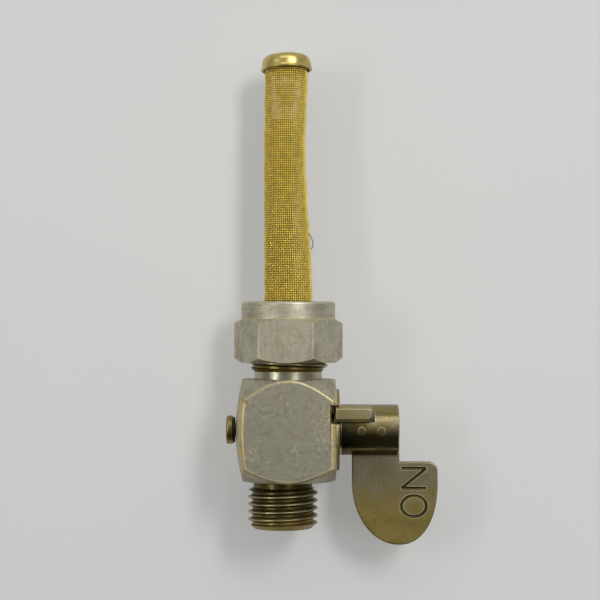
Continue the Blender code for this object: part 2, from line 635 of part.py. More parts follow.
def build_gauze(gauze_brass):
    """Ridged tube wall with a staggered set of through gaps."""
    low = gauze_floor()
    high = CAP_TOP_Z - CAP_WALL - SEAT_GAP - 2 * CAP_LIP
    bm = bmesh.new()
    levels = [low + (high - low) * row / GAUZE_ROWS for row in range(GAUZE_ROWS + 1)]
    outer = [[bm.verts.new(p) for p in gauze_ring(z, GAUZE_RIDGE * (row % 2), GAUZE_RIDGE)]
             for row, z in enumerate(levels)]
    inner = [[bm.verts.new(p) for p in gauze_ring(z, GAUZE_WALL, 0)] for z in levels]
    for row in range(GAUZE_ROWS):
        for column in range(GAUZE_COLUMNS):
            after = (column + 1) % GAUZE_COLUMNS
            cell = ((row, column), (row, after), (row + 1, after), (row + 1, column))
            if is_gap(row, column):
                for (r0, c0), (r1, c1) in zip(cell, cell[1:] + cell[:1]):
                    bm.faces.new((outer[r0][c0], outer[r1][c1], inner[r1][c1], inner[r0][c0]))
            else:
                bm.faces.new([outer[r][c] for r, c in cell])
                bm.faces.new([inner[r][c] for r, c in reversed(cell)])
    for row in (0, GAUZE_ROWS):
        for column in range(GAUZE_COLUMNS):
            after = (column + 1) % GAUZE_COLUMNS
            bm.faces.new((outer[row][column], outer[row][after],
                          inner[row][after], inner[row][column]))
    add_object("strainer_gauze", bm, gauze_brass)


def is_gap(row, column):
    """Which cells of the gauze are open: staggered, never touching, none at the ends."""
    if row % GAP_ROW_STEP == 0 or row >= GAUZE_ROWS - 1:
        return False
    stagger = GAP_COLUMN_STEP // 2 * (row // GAP_ROW_STEP % 2)
    return (column + stagger) % GAP_COLUMN_STEP == 0


def build_ferrule(brass):
    """Ring round the gauze's foot, with a lip under it, in the stub's socket."""
    outer = SOCKET_RADIUS - SEAT_GAP
    inner = outer - FERRULE_WALL
    low = SOCKET_FLOOR_Z + SEAT_GAP
    lip = GAUZE_BASE_RADIUS - GAUZE_WALL - FERRULE_LIP
    outline = [(inner, STUB_TOP_Z), (outer, STUB_TOP_Z), (outer, low), (lip, low),
               (lip, low + FERRULE_FLOOR), (inner, low + FERRULE_FLOOR)]
    add_object("strainer_ferrule", turned(outline, ring=True), brass)


def cap_lean():
    """How far the gauze's top leans back, as an angle."""
    low, high = gauze_place(CAP_TOP_Z - CAP_HEIGHT), gauze_place(CAP_TOP_Z)
    return math.atan2(high[1] - low[1], CAP_HEIGHT)


def build_cap(brass):
    """Pressed cup with a rolled lip, a little askew on the gauze."""
    inner = GAUZE_TOP_RADIUS + SEAT_GAP
    outer = inner + CAP_WALL
    rounding = 2 * CAP_WALL
    rim = -CAP_HEIGHT
    outline = [(0, 0)] + arc((outer - rounding, -rounding), rounding, 90, 0, 4)
    outline += [(outer, rim + 3 * CAP_LIP), (outer + CAP_LIP, rim + CAP_LIP),
                (outer + CAP_LIP, rim), (inner, rim), (inner, -rounding),
                (inner - CAP_WALL, -CAP_WALL), (0, -CAP_WALL)]
    bm = turned(outline)
    bmesh.ops.rotate(bm, verts=bm.verts[:], cent=(0, 0, -CAP_HEIGHT / 2),
                     matrix=Matrix.Rotation(math.radians(-CAP_TILT_DEG), 3, 'Y'))
    bmesh.ops.rotate(bm, verts=bm.verts[:], cent=(0, 0, -CAP_HEIGHT / 2),
                     matrix=Matrix.Rotation(-cap_lean(), 3, 'X'))
    centre_x, centre_y, _ = gauze_place(CAP_TOP_Z - CAP_HEIGHT / 2)
    bmesh.ops.translate(bm, verts=bm.verts[:], vec=(centre_x, centre_y, CAP_TOP_Z))
    add_object("strainer_cap", bm, brass)


def build_standpipe(brass):
    low = SOCKET_FLOOR_Z - PIPE_SEAT_DEPTH + SEAT_GAP
    bore = PIPE_RADIUS - PIPE_WALL
    outline = [(bore, PIPE_TOP_Z), (PIPE_RADIUS, PIPE_TOP_Z), (PIPE_RADIUS, low), (bore, low)]
    add_object("standpipe", turned(outline, SMALL_STEPS, ring=True, centre=(PIPE_X, 0, 0)), brass)


def main():
    for obj in list(bpy.data.objects):
        bpy.data.objects.remove(obj, do_unlink=True)
    plated = make_material("nickel_plate", (0.60, 0.575, 0.51), 1.0, 0.42)
    patina = make_material("patinated_brass", (0.42, 0.37, 0.24), 1.0, 0.45)
    brass = make_material("bright_brass", (0.80, 0.66, 0.30), 1.0, 0.25)
    gauze_brass = make_material("gauze_brass", (0.75, 0.62, 0.20), 1.0, 0.35)
    bronze = make_material("dark_bronze", (0.35, 0.26, 0.12), 1.0, 0.45)
    dark_steel = make_material("dark_steel", (0.12, 0.11, 0.10), 1.0, 0.5)
    fibre = make_material("fibre", (0.35, 0.10, 0.06), 0.0, 0.8)

    plug_axis = add_axis("plug_axis", (0, 0, PLUG_AXIS_Z))
    nut_axis = add_axis("nut_axis", (0, 0, 0))
    build_body(plated)
    build_nut(plated, nut_axis)
    build_seal(fibre)
    build_ferrule(brass)
    build_gauze(gauze_brass)
    build_cap(brass)
    build_standpipe(brass)
    build_plug(patina, plug_axis)
    build_lug(patina, plug_axis)
    build_blade(patina, plug_axis)
    build_pins(patina, plug_axis)
    build_screw(bronze, dark_steel, plug_axis)


main()
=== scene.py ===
"""Looks of the fuel tap: worn nickel plate, patinated brass, woven gauze and real threads.

The frame is loaded first. Each operator models one piece or group of like pieces in metres,
+Z up towards the tank, the lever side at +X and the plain front face at -Y.
"""

import math

import bpy
import numpy as np
from bpy.props import FloatProperty, FloatVectorProperty, IntProperty, PointerProperty
from bpy.types import Operator, Panel, PropertyGroup
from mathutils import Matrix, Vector


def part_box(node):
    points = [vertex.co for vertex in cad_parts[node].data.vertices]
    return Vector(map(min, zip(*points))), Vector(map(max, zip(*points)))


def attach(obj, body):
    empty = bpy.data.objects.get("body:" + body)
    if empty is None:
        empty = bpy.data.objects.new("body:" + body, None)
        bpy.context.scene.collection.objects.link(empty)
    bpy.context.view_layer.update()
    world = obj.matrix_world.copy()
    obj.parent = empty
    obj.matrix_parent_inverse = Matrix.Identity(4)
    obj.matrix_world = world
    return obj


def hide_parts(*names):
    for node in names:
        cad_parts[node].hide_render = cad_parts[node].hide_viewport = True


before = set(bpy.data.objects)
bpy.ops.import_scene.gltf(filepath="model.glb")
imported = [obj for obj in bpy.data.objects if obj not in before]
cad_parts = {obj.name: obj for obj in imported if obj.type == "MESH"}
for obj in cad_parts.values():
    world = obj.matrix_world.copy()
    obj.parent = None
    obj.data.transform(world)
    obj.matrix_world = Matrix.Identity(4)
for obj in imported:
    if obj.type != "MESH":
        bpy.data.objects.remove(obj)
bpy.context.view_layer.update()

bl_info = {
    "name": "Fuel tap",
    "version": (1, 0, 0),
    "blender": (4, 5, 0),
    "location": "View3D > Sidebar > Fuel tap",
    "description": "Models the pieces of a fuel tap and gives them their worn finishes",
    "category": "Object",
}

MERGE = 1e-6             # vertices closer than this are one
OVERRUN = 0.0005         # how far a cutter runs past the face it cuts
ROUND_STEPS = 96         # faces round a turned piece
FINE_STEPS = 128         # faces round a large or bright one
SMOOTH_DEG = 32.0        # edges sharper than this stay sharp
THREAD_SMOOTH_DEG = 25.0
THREAD_DEPTH = 0.61      # share of the pitch, outside threads
PLUG_BIG_RADIUS, PLUG_SMALL_RADIUS = 0.0048, 0.0040
GAUZE_TOP_RADIUS = 0.00435   # outside the wires, where the cap sits
PIN_NODES = ("lever_pin_left", "lever_pin_right")

# Places that the frame gives
BODY_LOW, BODY_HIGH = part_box("body")
PLUG_LOW, PLUG_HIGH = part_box("taper_plug")
NUT_LOW, NUT_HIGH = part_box("union_nut")
LUG_LOW, LUG_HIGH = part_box("stop_lug")
BLADE_LOW, BLADE_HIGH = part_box("lever_blade")
SCREW_LOW, SCREW_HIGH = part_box("retaining_screw")
WASHER_LOW, WASHER_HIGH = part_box("spring_washer")
CAP_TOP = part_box("strainer_cap")[1].z
GAUZE_LOW, GAUZE_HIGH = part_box("strainer_gauze")
PLUG_AXIS_Z = (PLUG_LOW.z + PLUG_HIGH.z) / 2
PLUG_AXIS = Vector((0, 0, PLUG_AXIS_Z))


def length(name, description, default):
    """A size in metres for the panel."""
    return FloatProperty(name=name, description=description, default=default,
                         unit='LENGTH', precision=5)


def colour(name, description, default):
    """A colour for the panel."""
    return FloatVectorProperty(name=name, description=description, default=default,
                               subtype='COLOR', size=3, min=0.0, max=1.0)


class FuelTapSizes(PropertyGroup):
    """Sizes that a user would change"""
    body_square: length("Body width", "Across the square bar", 2 * BODY_HIGH.y)
    body_top: length("Body top", "Height of the bar's upper face", -0.0155)
    body_bottom: length("Body bottom", "Height of the bar's lower face", -0.0359)
    body_edge: length("Body edge", "Radius of the bar's upright edges", 0.0011)
    end_face: length("End face", "Radius of the turned end faces", 0.0093)
    dome_radius: length("Dome", "Radius of the turned left face", 0.038)
    boss_radius: length("Boss", "Radius of the boss round the plug", 0.0082)
    groove_radius: length("Groove", "Radius of the groove for the stop lug", 0.0076)
    wear: length("Worn edge", "Width of the worn edges", 0.00022)
    stub_radius: length("Stub", "Radius of the upper thread's crests", 0.0080)
    stub_bottom: length("Stub bottom", "Height where the upper thread ends", -0.0134)
    neck_radius: length("Neck", "Radius of the neck under the stub", 0.00675)
    socket_radius: length("Socket", "Radius of the strainer's socket", 0.0059)
    socket_depth: length("Socket depth", "Depth of the strainer's socket", 0.0056)
    outlet_x: length("Outlet place", "Outlet's centre line beside the body's", -0.0011)
    outlet_radius: length("Outlet", "Radius of the outlet thread's crests", 0.0070)
    outlet_bore: length("Outlet bore", "Radius of the outlet's bore", 0.0035)
    pitch: length("Pitch", "Pitch of the threads", 0.0015)
    nut_bore: length("Nut bore", "Radius of the nut's bore", 0.00812)
    nut_collar: length("Nut collar", "Height of the nut's round collar", 0.0034)
    nut_turn: FloatProperty(name="Nut turn", description="How far the nut is turned",
                            default=math.radians(-2.7), subtype='ANGLE', unit='ROTATION')
    hub_radius: length("Hub", "Radius of the plug's hub", PLUG_HIGH.z - PLUG_AXIS_Z)
    blade_thickness: length("Blade", "Thickness of the lever blade", BLADE_HIGH.y - BLADE_LOW.y)
    stroke: length("Stroke", "Half the width of the lever's engraved strokes", 0.00031)
    mesh_pitch: length("Mesh", "Distance between the wires of the gauze", 0.00045)
    wire: length("Wire", "Radius of the gauze's wires", 0.000116)
    mesh_wires: IntProperty(name="Upright wires", description="Wires round the gauze",
                            default=64, min=16, max=96)


class FuelTapFinishes(PropertyGroup):
    """Colours that a user would change"""
    nickel: colour("Nickel", "Nickel plate", (0.43, 0.405, 0.305))
    nickel_dull: colour("Dull nickel", "Stained nickel plate", (0.305, 0.28, 0.205))
    worn_brass: colour("Worn brass", "Brass where the plate is worn off", (0.62, 0.47, 0.19))
    thread_dark: colour("Thread root", "Oxidised brass between the crests", (0.07, 0.06, 0.016))
    thread_light: colour("Thread crest", "Rubbed brass on the crests", (0.46, 0.41, 0.25))
    thread_gold: colour("Thread end", "Cleaner brass at the thread's end", (0.40, 0.29, 0.085))
    patina: colour("Patina", "Handled brass", (0.285, 0.22, 0.066))
    patina_grey: colour("Grey patina", "Brass dulled by handling", (0.215, 0.19, 0.115))
    patina_dark: colour("Dark patina", "Brass in the hollows", (0.075, 0.062, 0.023))
    gauze: colour("Gauze", "Brass wire cloth", (0.97, 0.735, 0.125))
    # Painted shade: the dark brown given to the wires' sides that face into the gauze tube.
    gauze_inside_shade: colour("Gauze inside", "Varnished inner side of the cloth", (0.22, 0.10, 0.035))
    pipe: colour("Standpipe", "Dull brass tube", (0.25, 0.125, 0.05))
    cap: colour("Cap", "Pressed brass cap", (0.62, 0.48, 0.16))
    bronze: colour("Screw", "Bronze screw", (0.34, 0.26, 0.085))
    steel: colour("Washer", "Blackened steel", (0.05, 0.048, 0.045))
    fibre: colour("Fibre", "Red fibre washer", (0.30, 0.085, 0.05))


def only(obj):
    """Leave edit mode and select one object and nothing else."""
    if bpy.context.mode != 'OBJECT':
        bpy.ops.object.mode_set(mode='OBJECT')
    bpy.ops.object.select_all(action='DESELECT')
    obj.select_set(True)
    bpy.context.view_layer.objects.active = obj


def edit_all(obj):
    """Open one object in edit mode with all of it selected."""
    only(obj)
    bpy.ops.object.mode_set(mode='EDIT')
    bpy.ops.mesh.select_all(action='SELECT')


def apply_modifiers(obj):
    """Apply every modifier in turn, so that only the mesh is left."""
    only(obj)
    for modifier in list(obj.modifiers):
        bpy.ops.object.modifier_apply(modifier=modifier.name)


def draw(name, points):
    """A chain of edges drawn point by point, the first point where the pencil starts."""
    bpy.ops.object.select_all(action='DESELECT')
    bpy.ops.mesh.primitive_plane_add(size=OVERRUN, location=(0, 0, 0))
    obj = bpy.context.object
    obj.name = name
    bpy.ops.object.mode_set(mode='EDIT')
    bpy.ops.mesh.merge(type='CENTER')
    bpy.ops.transform.translate(value=points[0])
    for before, after in zip(points, points[1:]):
        step = [b - a for a, b in zip(before, after)]
        bpy.ops.mesh.extrude_region_move(TRANSFORM_OT_translate={"value": step})
    bpy.ops.mesh.select_all(action='SELECT')
    return obj


def clean(obj):
    """Merge doubles and turn every face outwards."""
    edit_all(obj)
    bpy.ops.mesh.remove_doubles(threshold=MERGE)
    bpy.ops.mesh.normals_make_consistent(inside=False)
    bpy.ops.object.mode_set(mode='OBJECT')
    return obj


def settle(obj, location=(0, 0, 0), rotation=(0, 0, 0)):
    """Put a piece in its place and leave its object at the origin."""
    only(obj)
    obj.rotation_euler = rotation
    obj.location = location
    bpy.ops.object.transform_apply(location=True, rotation=True, scale=True)
    return obj


def turned(name, outline, steps=ROUND_STEPS, along='Z', centre=(0, 0, 0)):
    """Spin an outline of (radius, height) corners into a turned solid."""
    obj = draw(name, [(radius, 0, height) for radius, height in outline])
    bpy.ops.mesh.spin(steps=steps, angle=math.tau, center=(0, 0, 0), axis=(0, 0, 1))
    clean(obj)
    return settle(obj, centre, (0, math.pi / 2 if along == 'X' else 0, 0))


def rod(name, radius, start, end, along='Z', centre=(0, 0, 0), steps=ROUND_STEPS):
    """A plain round tool or bar between two heights."""
    return turned(name, [(0, end), (radius, end), (radius, start), (0, start)], steps,
                  along, centre)


def cross_rod(name, radius, half_length, centre, steps=48):
    """A rod along Y."""
    obj = rod(name, radius, -half_length, half_length, steps=steps)
    return settle(obj, centre, (math.pi / 2, 0, 0))


def block(name, low, high):
    """A square-cornered tool or bar between two corners."""
    low, high = Vector(low), Vector(high)
    bpy.ops.object.select_all(action='DESELECT')
    bpy.ops.mesh.primitive_cube_add(size=1, location=(low + high) / 2, scale=high - low)
    obj = bpy.context.object
    obj.name = name
    bpy.ops.object.transform_apply(location=True, rotation=True, scale=True)
    return obj


def plate(name, outline, thickness):
    """A flat plate from its front outline of (x, z) corners, its middle plane at y = 0."""
    obj = draw(name, [(x, -thickness / 2, z) for x, z in outline])
    bpy.ops.mesh.edge_face_add()
    bpy.ops.mesh.extrude_region_move(TRANSFORM_OT_translate={"value": (0, thickness, 0)})
    return clean(obj)


def arc(centre, radius, start_deg, end_deg, count):
    """Points on an arc, both ends included."""
    angles = [math.radians(start_deg + (end_deg - start_deg) * k / count)
              for k in range(count + 1)]
    return [(centre[0] + radius * math.cos(a), centre[1] + radius * math.sin(a)) for a in angles]


def combine(obj, operation, *tools):
    """Boolean with one or more tools, all in one step; the tools are used up."""
    group = bpy.data.collections.new(operation.lower())
    for tool in tools:
        group.objects.link(tool)
    modifier = obj.modifiers.new(operation.lower(), 'BOOLEAN')
    modifier.operation = operation
    modifier.solver = 'EXACT'
    modifier.material_mode = 'TRANSFER'
    modifier.operand_type = 'COLLECTION'
    modifier.collection = group
    apply_modifiers(obj)
    for tool in tools:
        bpy.data.objects.remove(tool, do_unlink=True)
    bpy.data.collections.remove(group)
    if not obj.data.polygons:
        raise RuntimeError(f"{obj.name} is empty after {operation.lower()}")
    return obj


def merge_flats(obj):
    """Make one face of neighbours that lie in one plane."""
    flat_within = math.radians(0.2)
    edit_all(obj)
    bpy.ops.mesh.dissolve_limited(angle_limit=flat_within)
    return clean(obj)


def bevel_edges(obj, width, segments, wanted):
    """Bevel the edges between the two corners that the test wants."""
    only(obj)
    bpy.ops.object.mode_set(mode='EDIT')
    bpy.ops.mesh.select_mode(type='EDGE')
    bpy.ops.mesh.select_all(action='DESELECT')
    bpy.ops.object.mode_set(mode='OBJECT')
    verts = obj.data.vertices
    for edge in obj.data.edges:
        edge.select = wanted(*(verts[index].co for index in edge.vertices))
    bpy.ops.object.mode_set(mode='EDIT')
    bpy.ops.mesh.bevel(offset=width, segments=segments, affect='EDGES')
    bpy.ops.mesh.select_mode(type='VERT')
    return clean(obj)


def wear_edges(obj, width, segments=2, limit_deg=28.0):
    """Round every edge sharper than the limit."""
    bevel = obj.modifiers.new("worn_edges", 'BEVEL')
    bevel.width = width
    bevel.segments = segments
    bevel.limit_method = 'ANGLE'
    bevel.angle_limit = math.radians(limit_deg)
    bevel.use_clamp_overlap = False
    apply_modifiers(obj)
    return clean(obj)


def smooth(obj, angle_deg=SMOOTH_DEG):
    """Smooth shading that keeps flat faces flat."""
    only(obj)
    bpy.ops.object.shade_smooth_by_angle(angle=math.radians(angle_deg))
    weighted = obj.modifiers.new("flat_faces", 'WEIGHTED_NORMAL')
    weighted.keep_sharp = True
    apply_modifiers(obj)


def paint(obj, material):
    """One material all over, in the only slot."""
    obj.data.materials.clear()
    obj.data.materials.append(material)


def finish_piece(obj, material, body, slot, *nodes):
    """Give a piece its finish and its body, and hide the frame's nodes that it stands for; its slot
    is not used.
    """
    if material:
        paint(obj, material)
    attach(obj, body)
    if nodes:
        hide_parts(*nodes)
    return obj


def thread(name, crest, depth, pitch, low, high, crest_height, left_hand=False):
    """Screw one ridge's outline into a thread and cut it off flat at both ends."""
    turns_below = math.ceil((crest_height - low) / pitch) + 2
    start = crest_height - turns_below * pitch - pitch / 16
    profile = [(crest, 0, start), (crest, 0, start + pitch / 8),
               (crest - depth, 0, start + pitch * 7 / 16),
               (crest - depth, 0, start + pitch * 11 / 16), (crest, 0, start + pitch)]
    obj = draw(name, profile)
    only(obj)
    screw = obj.modifiers.new("helix", 'SCREW')
    screw.angle = -math.tau if left_hand else math.tau
    screw.screw_offset = pitch
    screw.iterations = math.ceil((high - start) / pitch) + 2
    screw.steps = screw.render_steps = ROUND_STEPS
    screw.use_merge_vertices = False
    apply_modifiers(obj)
    clean(obj)
    for height, side in ((low, "clear_inner"), (high, "clear_outer")):
        edit_all(obj)
        bpy.ops.mesh.bisect(plane_co=(0, 0, height), plane_no=(0, 0, 1), use_fill=True,
                            threshold=MERGE / 10, **{side: True})
        clean(obj)
    return obj


class Shader:
    """A material and the few calls that wire its nodes together."""

    def __init__(self, name, metallic=1.0):
        self.material = bpy.data.materials.new(name)
        self.material.use_nodes = True
        self.tree = self.material.node_tree
        self.principled = self.tree.nodes["Principled BSDF"]
        self.principled.inputs["Metallic"].default_value = metallic
        self.place = self.node('ShaderNodeTexCoord').outputs["Object"]

    def node(self, kind, *values, **settings):
        """A node with its inputs, in order, set to numbers or linked to sockets."""
        made = self.tree.nodes.new(kind)
        for key, value in settings.items():
            setattr(made, key, value)
        for socket, value in zip(made.inputs, values):
            if value is None:
                continue
            if isinstance(value, bpy.types.NodeSocket):
                self.tree.links.new(value, socket)
            else:
                socket.default_value = value
        return made

    def math(self, operation, *values):
        return self.node('ShaderNodeMath', *values, operation=operation).outputs[0]

    def vector_math(self, operation, *values):
        made = self.node('ShaderNodeVectorMath', *values, operation=operation)
        return made.outputs["Value" if operation in ('LENGTH', 'DOT_PRODUCT') else "Vector"]

    def part(self, axis, vector=None):
        """One of a vector's three parts; without a vector, of the place."""
        return self.node('ShaderNodeSeparateXYZ', vector or self.place).outputs[axis]

    def from_axis(self, x, y=0.0):
        """The level way from an upright axis to the place."""
        away = self.vector_math('SUBTRACT', self.place, (x, y, 0))
        return self.vector_math('MULTIPLY', away, (1, 1, 0))

    def pushed(self, value, noise, amount):
        """A number that a noise pushes up and down."""
        push = self.math('MULTIPLY', self.math('SUBTRACT', noise, 0.5), amount)
        return self.math('ADD', value, push)

    def noise(self, scale, detail=4.0, roughness=0.55, place=None, distortion=0.0):
        made = self.node('ShaderNodeTexNoise')
        self.tree.links.new(place or self.place, made.inputs["Vector"])
        made.inputs["Scale"].default_value = scale
        made.inputs["Detail"].default_value = detail
        made.inputs["Roughness"].default_value = roughness
        made.inputs["Distortion"].default_value = distortion
        return made.outputs["Fac"]

    def scratches(self, turn, patch_scale):
        """Short fine scratches one way across the faces, in a few patches."""
        turned = self.node('ShaderNodeMapping', vector_type='TEXTURE')
        self.tree.links.new(self.place, turned.inputs["Vector"])
        turned.inputs["Rotation"].default_value = (0, turn, 0)
        turned.inputs["Scale"].default_value = (1.0, 1.0, 3.5)
        lines = self.step(self.noise(2300, 1, 0.4, turned.outputs["Vector"]), 0.66, 0.73)
        return self.math('MULTIPLY', lines, self.step(self.noise(patch_scale, 2), 0.58, 0.68))

    def cells(self, scale):
        """How far the place lies from the nearest of some scattered points."""
        made = self.node('ShaderNodeTexVoronoi')
        self.tree.links.new(self.place, made.inputs["Vector"])
        made.inputs["Scale"].default_value = scale
        return made.outputs["Distance"]

    def step(self, value, low, high, to_low=0.0, to_high=1.0):
        """A soft step from one number to another."""
        made = self.node('ShaderNodeMapRange', value, low, high, to_low, to_high,
                         interpolation_type='SMOOTHSTEP')
        return made.outputs["Result"]

    def mix(self, share, first, second):
        """The first colour where the share is 0, the second where it is 1."""
        made = self.node('ShaderNodeMix', data_type='RGBA')
        for key, value in (("Factor_Float", share), ("A_Color", first), ("B_Color", second)):
            socket = next(s for s in made.inputs if s.identifier == key)
            if isinstance(value, bpy.types.NodeSocket):
                self.tree.links.new(value, socket)
            else:
                socket.default_value = value if key == "Factor_Float" else (*value, 1.0)
        return next(s for s in made.outputs if s.identifier == "Result_Color")

    def edges(self, radius, low, high):
        """1 on worn edges, 0 on the faces between them."""
        rounded = self.node('ShaderNodeBevel', radius, samples=8).outputs["Normal"]
        normal = self.node('ShaderNodeNewGeometry').outputs["Normal"]
        return self.step(self.vector_math('DOT_PRODUCT', rounded, normal), high, low, 0.0, 1.0)

    def bump(self, height, distance, strength=1.0, under=None):
        made = self.node('ShaderNodeBump')
        made.inputs["Strength"].default_value = strength
        made.inputs["Distance"].default_value = distance
        self.tree.links.new(height, made.inputs["Height"])
        if under is not None:
            self.tree.links.new(under, made.inputs["Normal"])
        return made.outputs["Normal"]

    def finish(self, base, roughness, normal=None):
        """Link or set the surface's own sockets, and hand over the material."""
        for key, value in (("Base Color", base), ("Roughness", roughness), ("Normal", normal)):
            if isinstance(value, bpy.types.NodeSocket):
                self.tree.links.new(value, self.principled.inputs[key])
            elif value is not None:
                socket = self.principled.inputs[key]
                socket.default_value = (*value, 1.0) if key == "Base Color" else value
        return self.material


def shaded(tint, share):
    """A colour made lighter or darker."""
    return [part * share for part in tint]


def plated(name, finish, edge_rounds=False, roughness=0.40, scratches=1.0, streaks=0.0,
           light=1.0, painted_shade_from=None):
    """Satin nickel with stains, pits and scratches, worn to brass along its edges."""
    shader = Shader(name, 0.9)
    stains = shader.noise(330, 6, 0.65)
    speckle = shader.noise(2700, 3, 0.6)
    clean_plate, dull_plate = shaded(finish.nickel, light), shaded(finish.nickel_dull, light)
    base = shader.mix(shader.step(stains, 0.42, 0.70), clean_plate, dull_plate)
    base = shader.mix(shader.step(speckle, 0.46, 0.62, 0.0, 0.30), base, dull_plate)
    if streaks:
        upright, level = (shader.noise(2300, 3, 0.6, shader.vector_math(
            'MULTIPLY', shader.place, stretch)) for stretch in ((1, 1, 0.09), (0.06, 0.06, 1)))
        on_collar = shader.step(shader.part(2), -0.0037, -0.0033)
        drawn = shader.mix(on_collar, upright, level)
        base = shader.mix(shader.step(drawn, 0.46, 0.66, 0.0, streaks), base,
                          shaded(dull_plate, 0.6))
    warm = shader.step(shader.noise(170, 3, 0.5), 0.45, 0.75, 0.0, 0.16)
    base = shader.mix(warm, base, finish.worn_brass)
    if edge_rounds:
        worn = shader.math('MAXIMUM', shader.edges(0.0013, 0.955, 0.995), upright_rounds(shader))
    else:
        worn = shader.edges(0.0004, 0.90, 0.99)
    patchy = shader.step(shader.noise(520, 4, 0.6), 0.30, 0.52, 0.45, 0.95)
    worn = shader.math('MULTIPLY', worn, patchy)
    base = shader.mix(worn, base, finish.worn_brass)
    shader.tree.links.new(shader.step(worn, 0.0, 1.0, 0.9, 0.45),
                          shader.principled.inputs["Metallic"])
    few = shader.step(shader.noise(240, 2, 0.5), 0.55, 0.63)
    pits = shader.math('MULTIPLY', shader.step(shader.cells(620), 0.06, 0.14, 1.0, 0.0), few)
    base = shader.mix(shader.math('MULTIPLY', pits, 0.8), base, finish.thread_dark)
    marks = shader.scratches(0.65, 190)
    for turn, patch_scale in ((-0.5, 230), (1.9, 270)):
        marks = shader.math('MAXIMUM', marks, shader.scratches(turn, patch_scale))
    marks = shader.math('MULTIPLY', marks, scratches)
    base = shader.mix(shader.math('MULTIPLY', marks, 0.45), base, (0.62, 0.60, 0.50))
    dents = shader.noise(1250, 3, 0.5, distortion=0.9)
    dented = shader.math('MULTIPLY', shader.step(shader.noise(210, 2), 0.45, 0.60, 0.10, 0.50),
                         scratches)
    base = shader.mix(shader.math('MULTIPLY', shader.step(dents, 0.52, 0.66), dented), base,
                      shaded(clean_plate, 1.35))
    base = shader.mix(shader.math('MULTIPLY', shader.step(dents, 0.46, 0.34), dented), base,
                      shaded(dull_plate, 0.7))
    # Painted shade: beyond the given x (the boss round the plug, standing out of the bar's right
    # face) the plate is darkened towards the dark patina, as shade between body and hub.
    if painted_shade_from is not None:
        grime = shader.step(shader.part(0), painted_shade_from, painted_shade_from + 0.0004, 0.0, 0.8)
        base = shader.mix(grime, base, finish.patina_dark)
    height = shader.math('ADD', shader.math('MULTIPLY', speckle, 0.5),
                         shader.math('MULTIPLY', dents, 0.6))
    height = shader.math('SUBTRACT', height, shader.math('MAXIMUM', pits, marks))
    rough = shader.step(shader.math('ADD', stains, shader.math('MULTIPLY', speckle, 0.3)),
                        0.4, 0.9, roughness, roughness + 0.14)
    return shader.finish(base, rough, shader.bump(height, 0.00005, 0.5))


def upright_rounds(shader):
    """1 on the rounded upright edges of a square bar, where its plate is rubbed through."""
    normal = shader.node('ShaderNodeTexCoord').outputs["Normal"]
    across, front, up = (shader.part(axis, normal) for axis in range(3))
    turn = shader.math('ABSOLUTE', shader.math('MULTIPLY', across, front))
    level = shader.step(shader.math('ABSOLUTE', up), 0.15, 0.4, 1.0, 0.0)
    return shader.math('MULTIPLY', shader.step(turn, 0.05, 0.28, 0.0, 0.85), level)


def thread_brass(name, finish, axis_x, root, crest, clean_below):
    """Oxidised brass thread: dark between the crests, rubbed bright on them."""
    shader = Shader(name, 0.9)
    radius = shader.vector_math('LENGTH', shader.from_axis(axis_x))
    grime = shader.noise(420, 5, 0.6)
    reach = shader.pushed(radius, grime, (crest - root) * 0.8)
    middle = (root + crest) / 2
    base = shader.mix(shader.step(reach, middle, crest), finish.thread_dark,
                      finish.thread_light)
    height = shader.pushed(shader.part(2), grime, 0.006)
    golden = shader.step(height, clean_below - 0.0015, clean_below + 0.0015, 0.65, 0.10)
    base = shader.mix(golden, base, finish.thread_gold)
    rough = shader.step(grime, 0.3, 0.7, 0.30, 0.46)
    return shader.finish(base, rough, shader.bump(shader.noise(1900, 4), 0.00004, 0.4))


def patina_brass(name, finish, low_z=None, roughness=0.36, metallic=0.85, rubbed=0.0003,
                 light=1.0, painted_shade_to=None):
    """Handled brass: fine-grained patina, golden or grey, rubbed brighter on its edges."""
    shader = Shader(name, metallic)
    cloud = shader.noise(240, 5, 0.6)
    grain = shader.noise(2500, 4, 0.65)
    share = shader.step(cloud, 0.35, 0.65)
    if low_z is not None:
        height = shader.pushed(shader.part(2), cloud, 0.016)
        share = shader.step(height, low_z + 0.006, low_z + 0.015)
    base = shader.mix(share, shaded(finish.patina, light), shaded(finish.patina_grey, light))
    base = shader.mix(shader.step(grain, 0.50, 0.68, 0.0, 0.30), base, finish.patina_dark)
    base = shader.mix(shader.step(grain, 0.46, 0.34, 0.0, 0.20), base, finish.worn_brass)
    # Painted shade: below the given x, pushed about by the cloud, the brass fades to a near-black
    # copy of the dark patina.
    if painted_shade_to is not None:
        reach = shader.math('ADD', shader.part(0), shader.math('MULTIPLY', cloud, 0.004))
        base = shader.mix(shader.step(reach, painted_shade_to - 0.001, painted_shade_to + 0.0055, 0.9, 0.0),
                          base, shaded(finish.patina_dark, 0.35))
    base = shader.mix(shader.edges(rubbed, 0.93, 0.995), base, (0.66, 0.56, 0.33))
    rough = shader.step(cloud, 0.3, 0.7, roughness, roughness + 0.12)
    return shader.finish(base, rough, shader.bump(grain, 0.00003, 0.35))


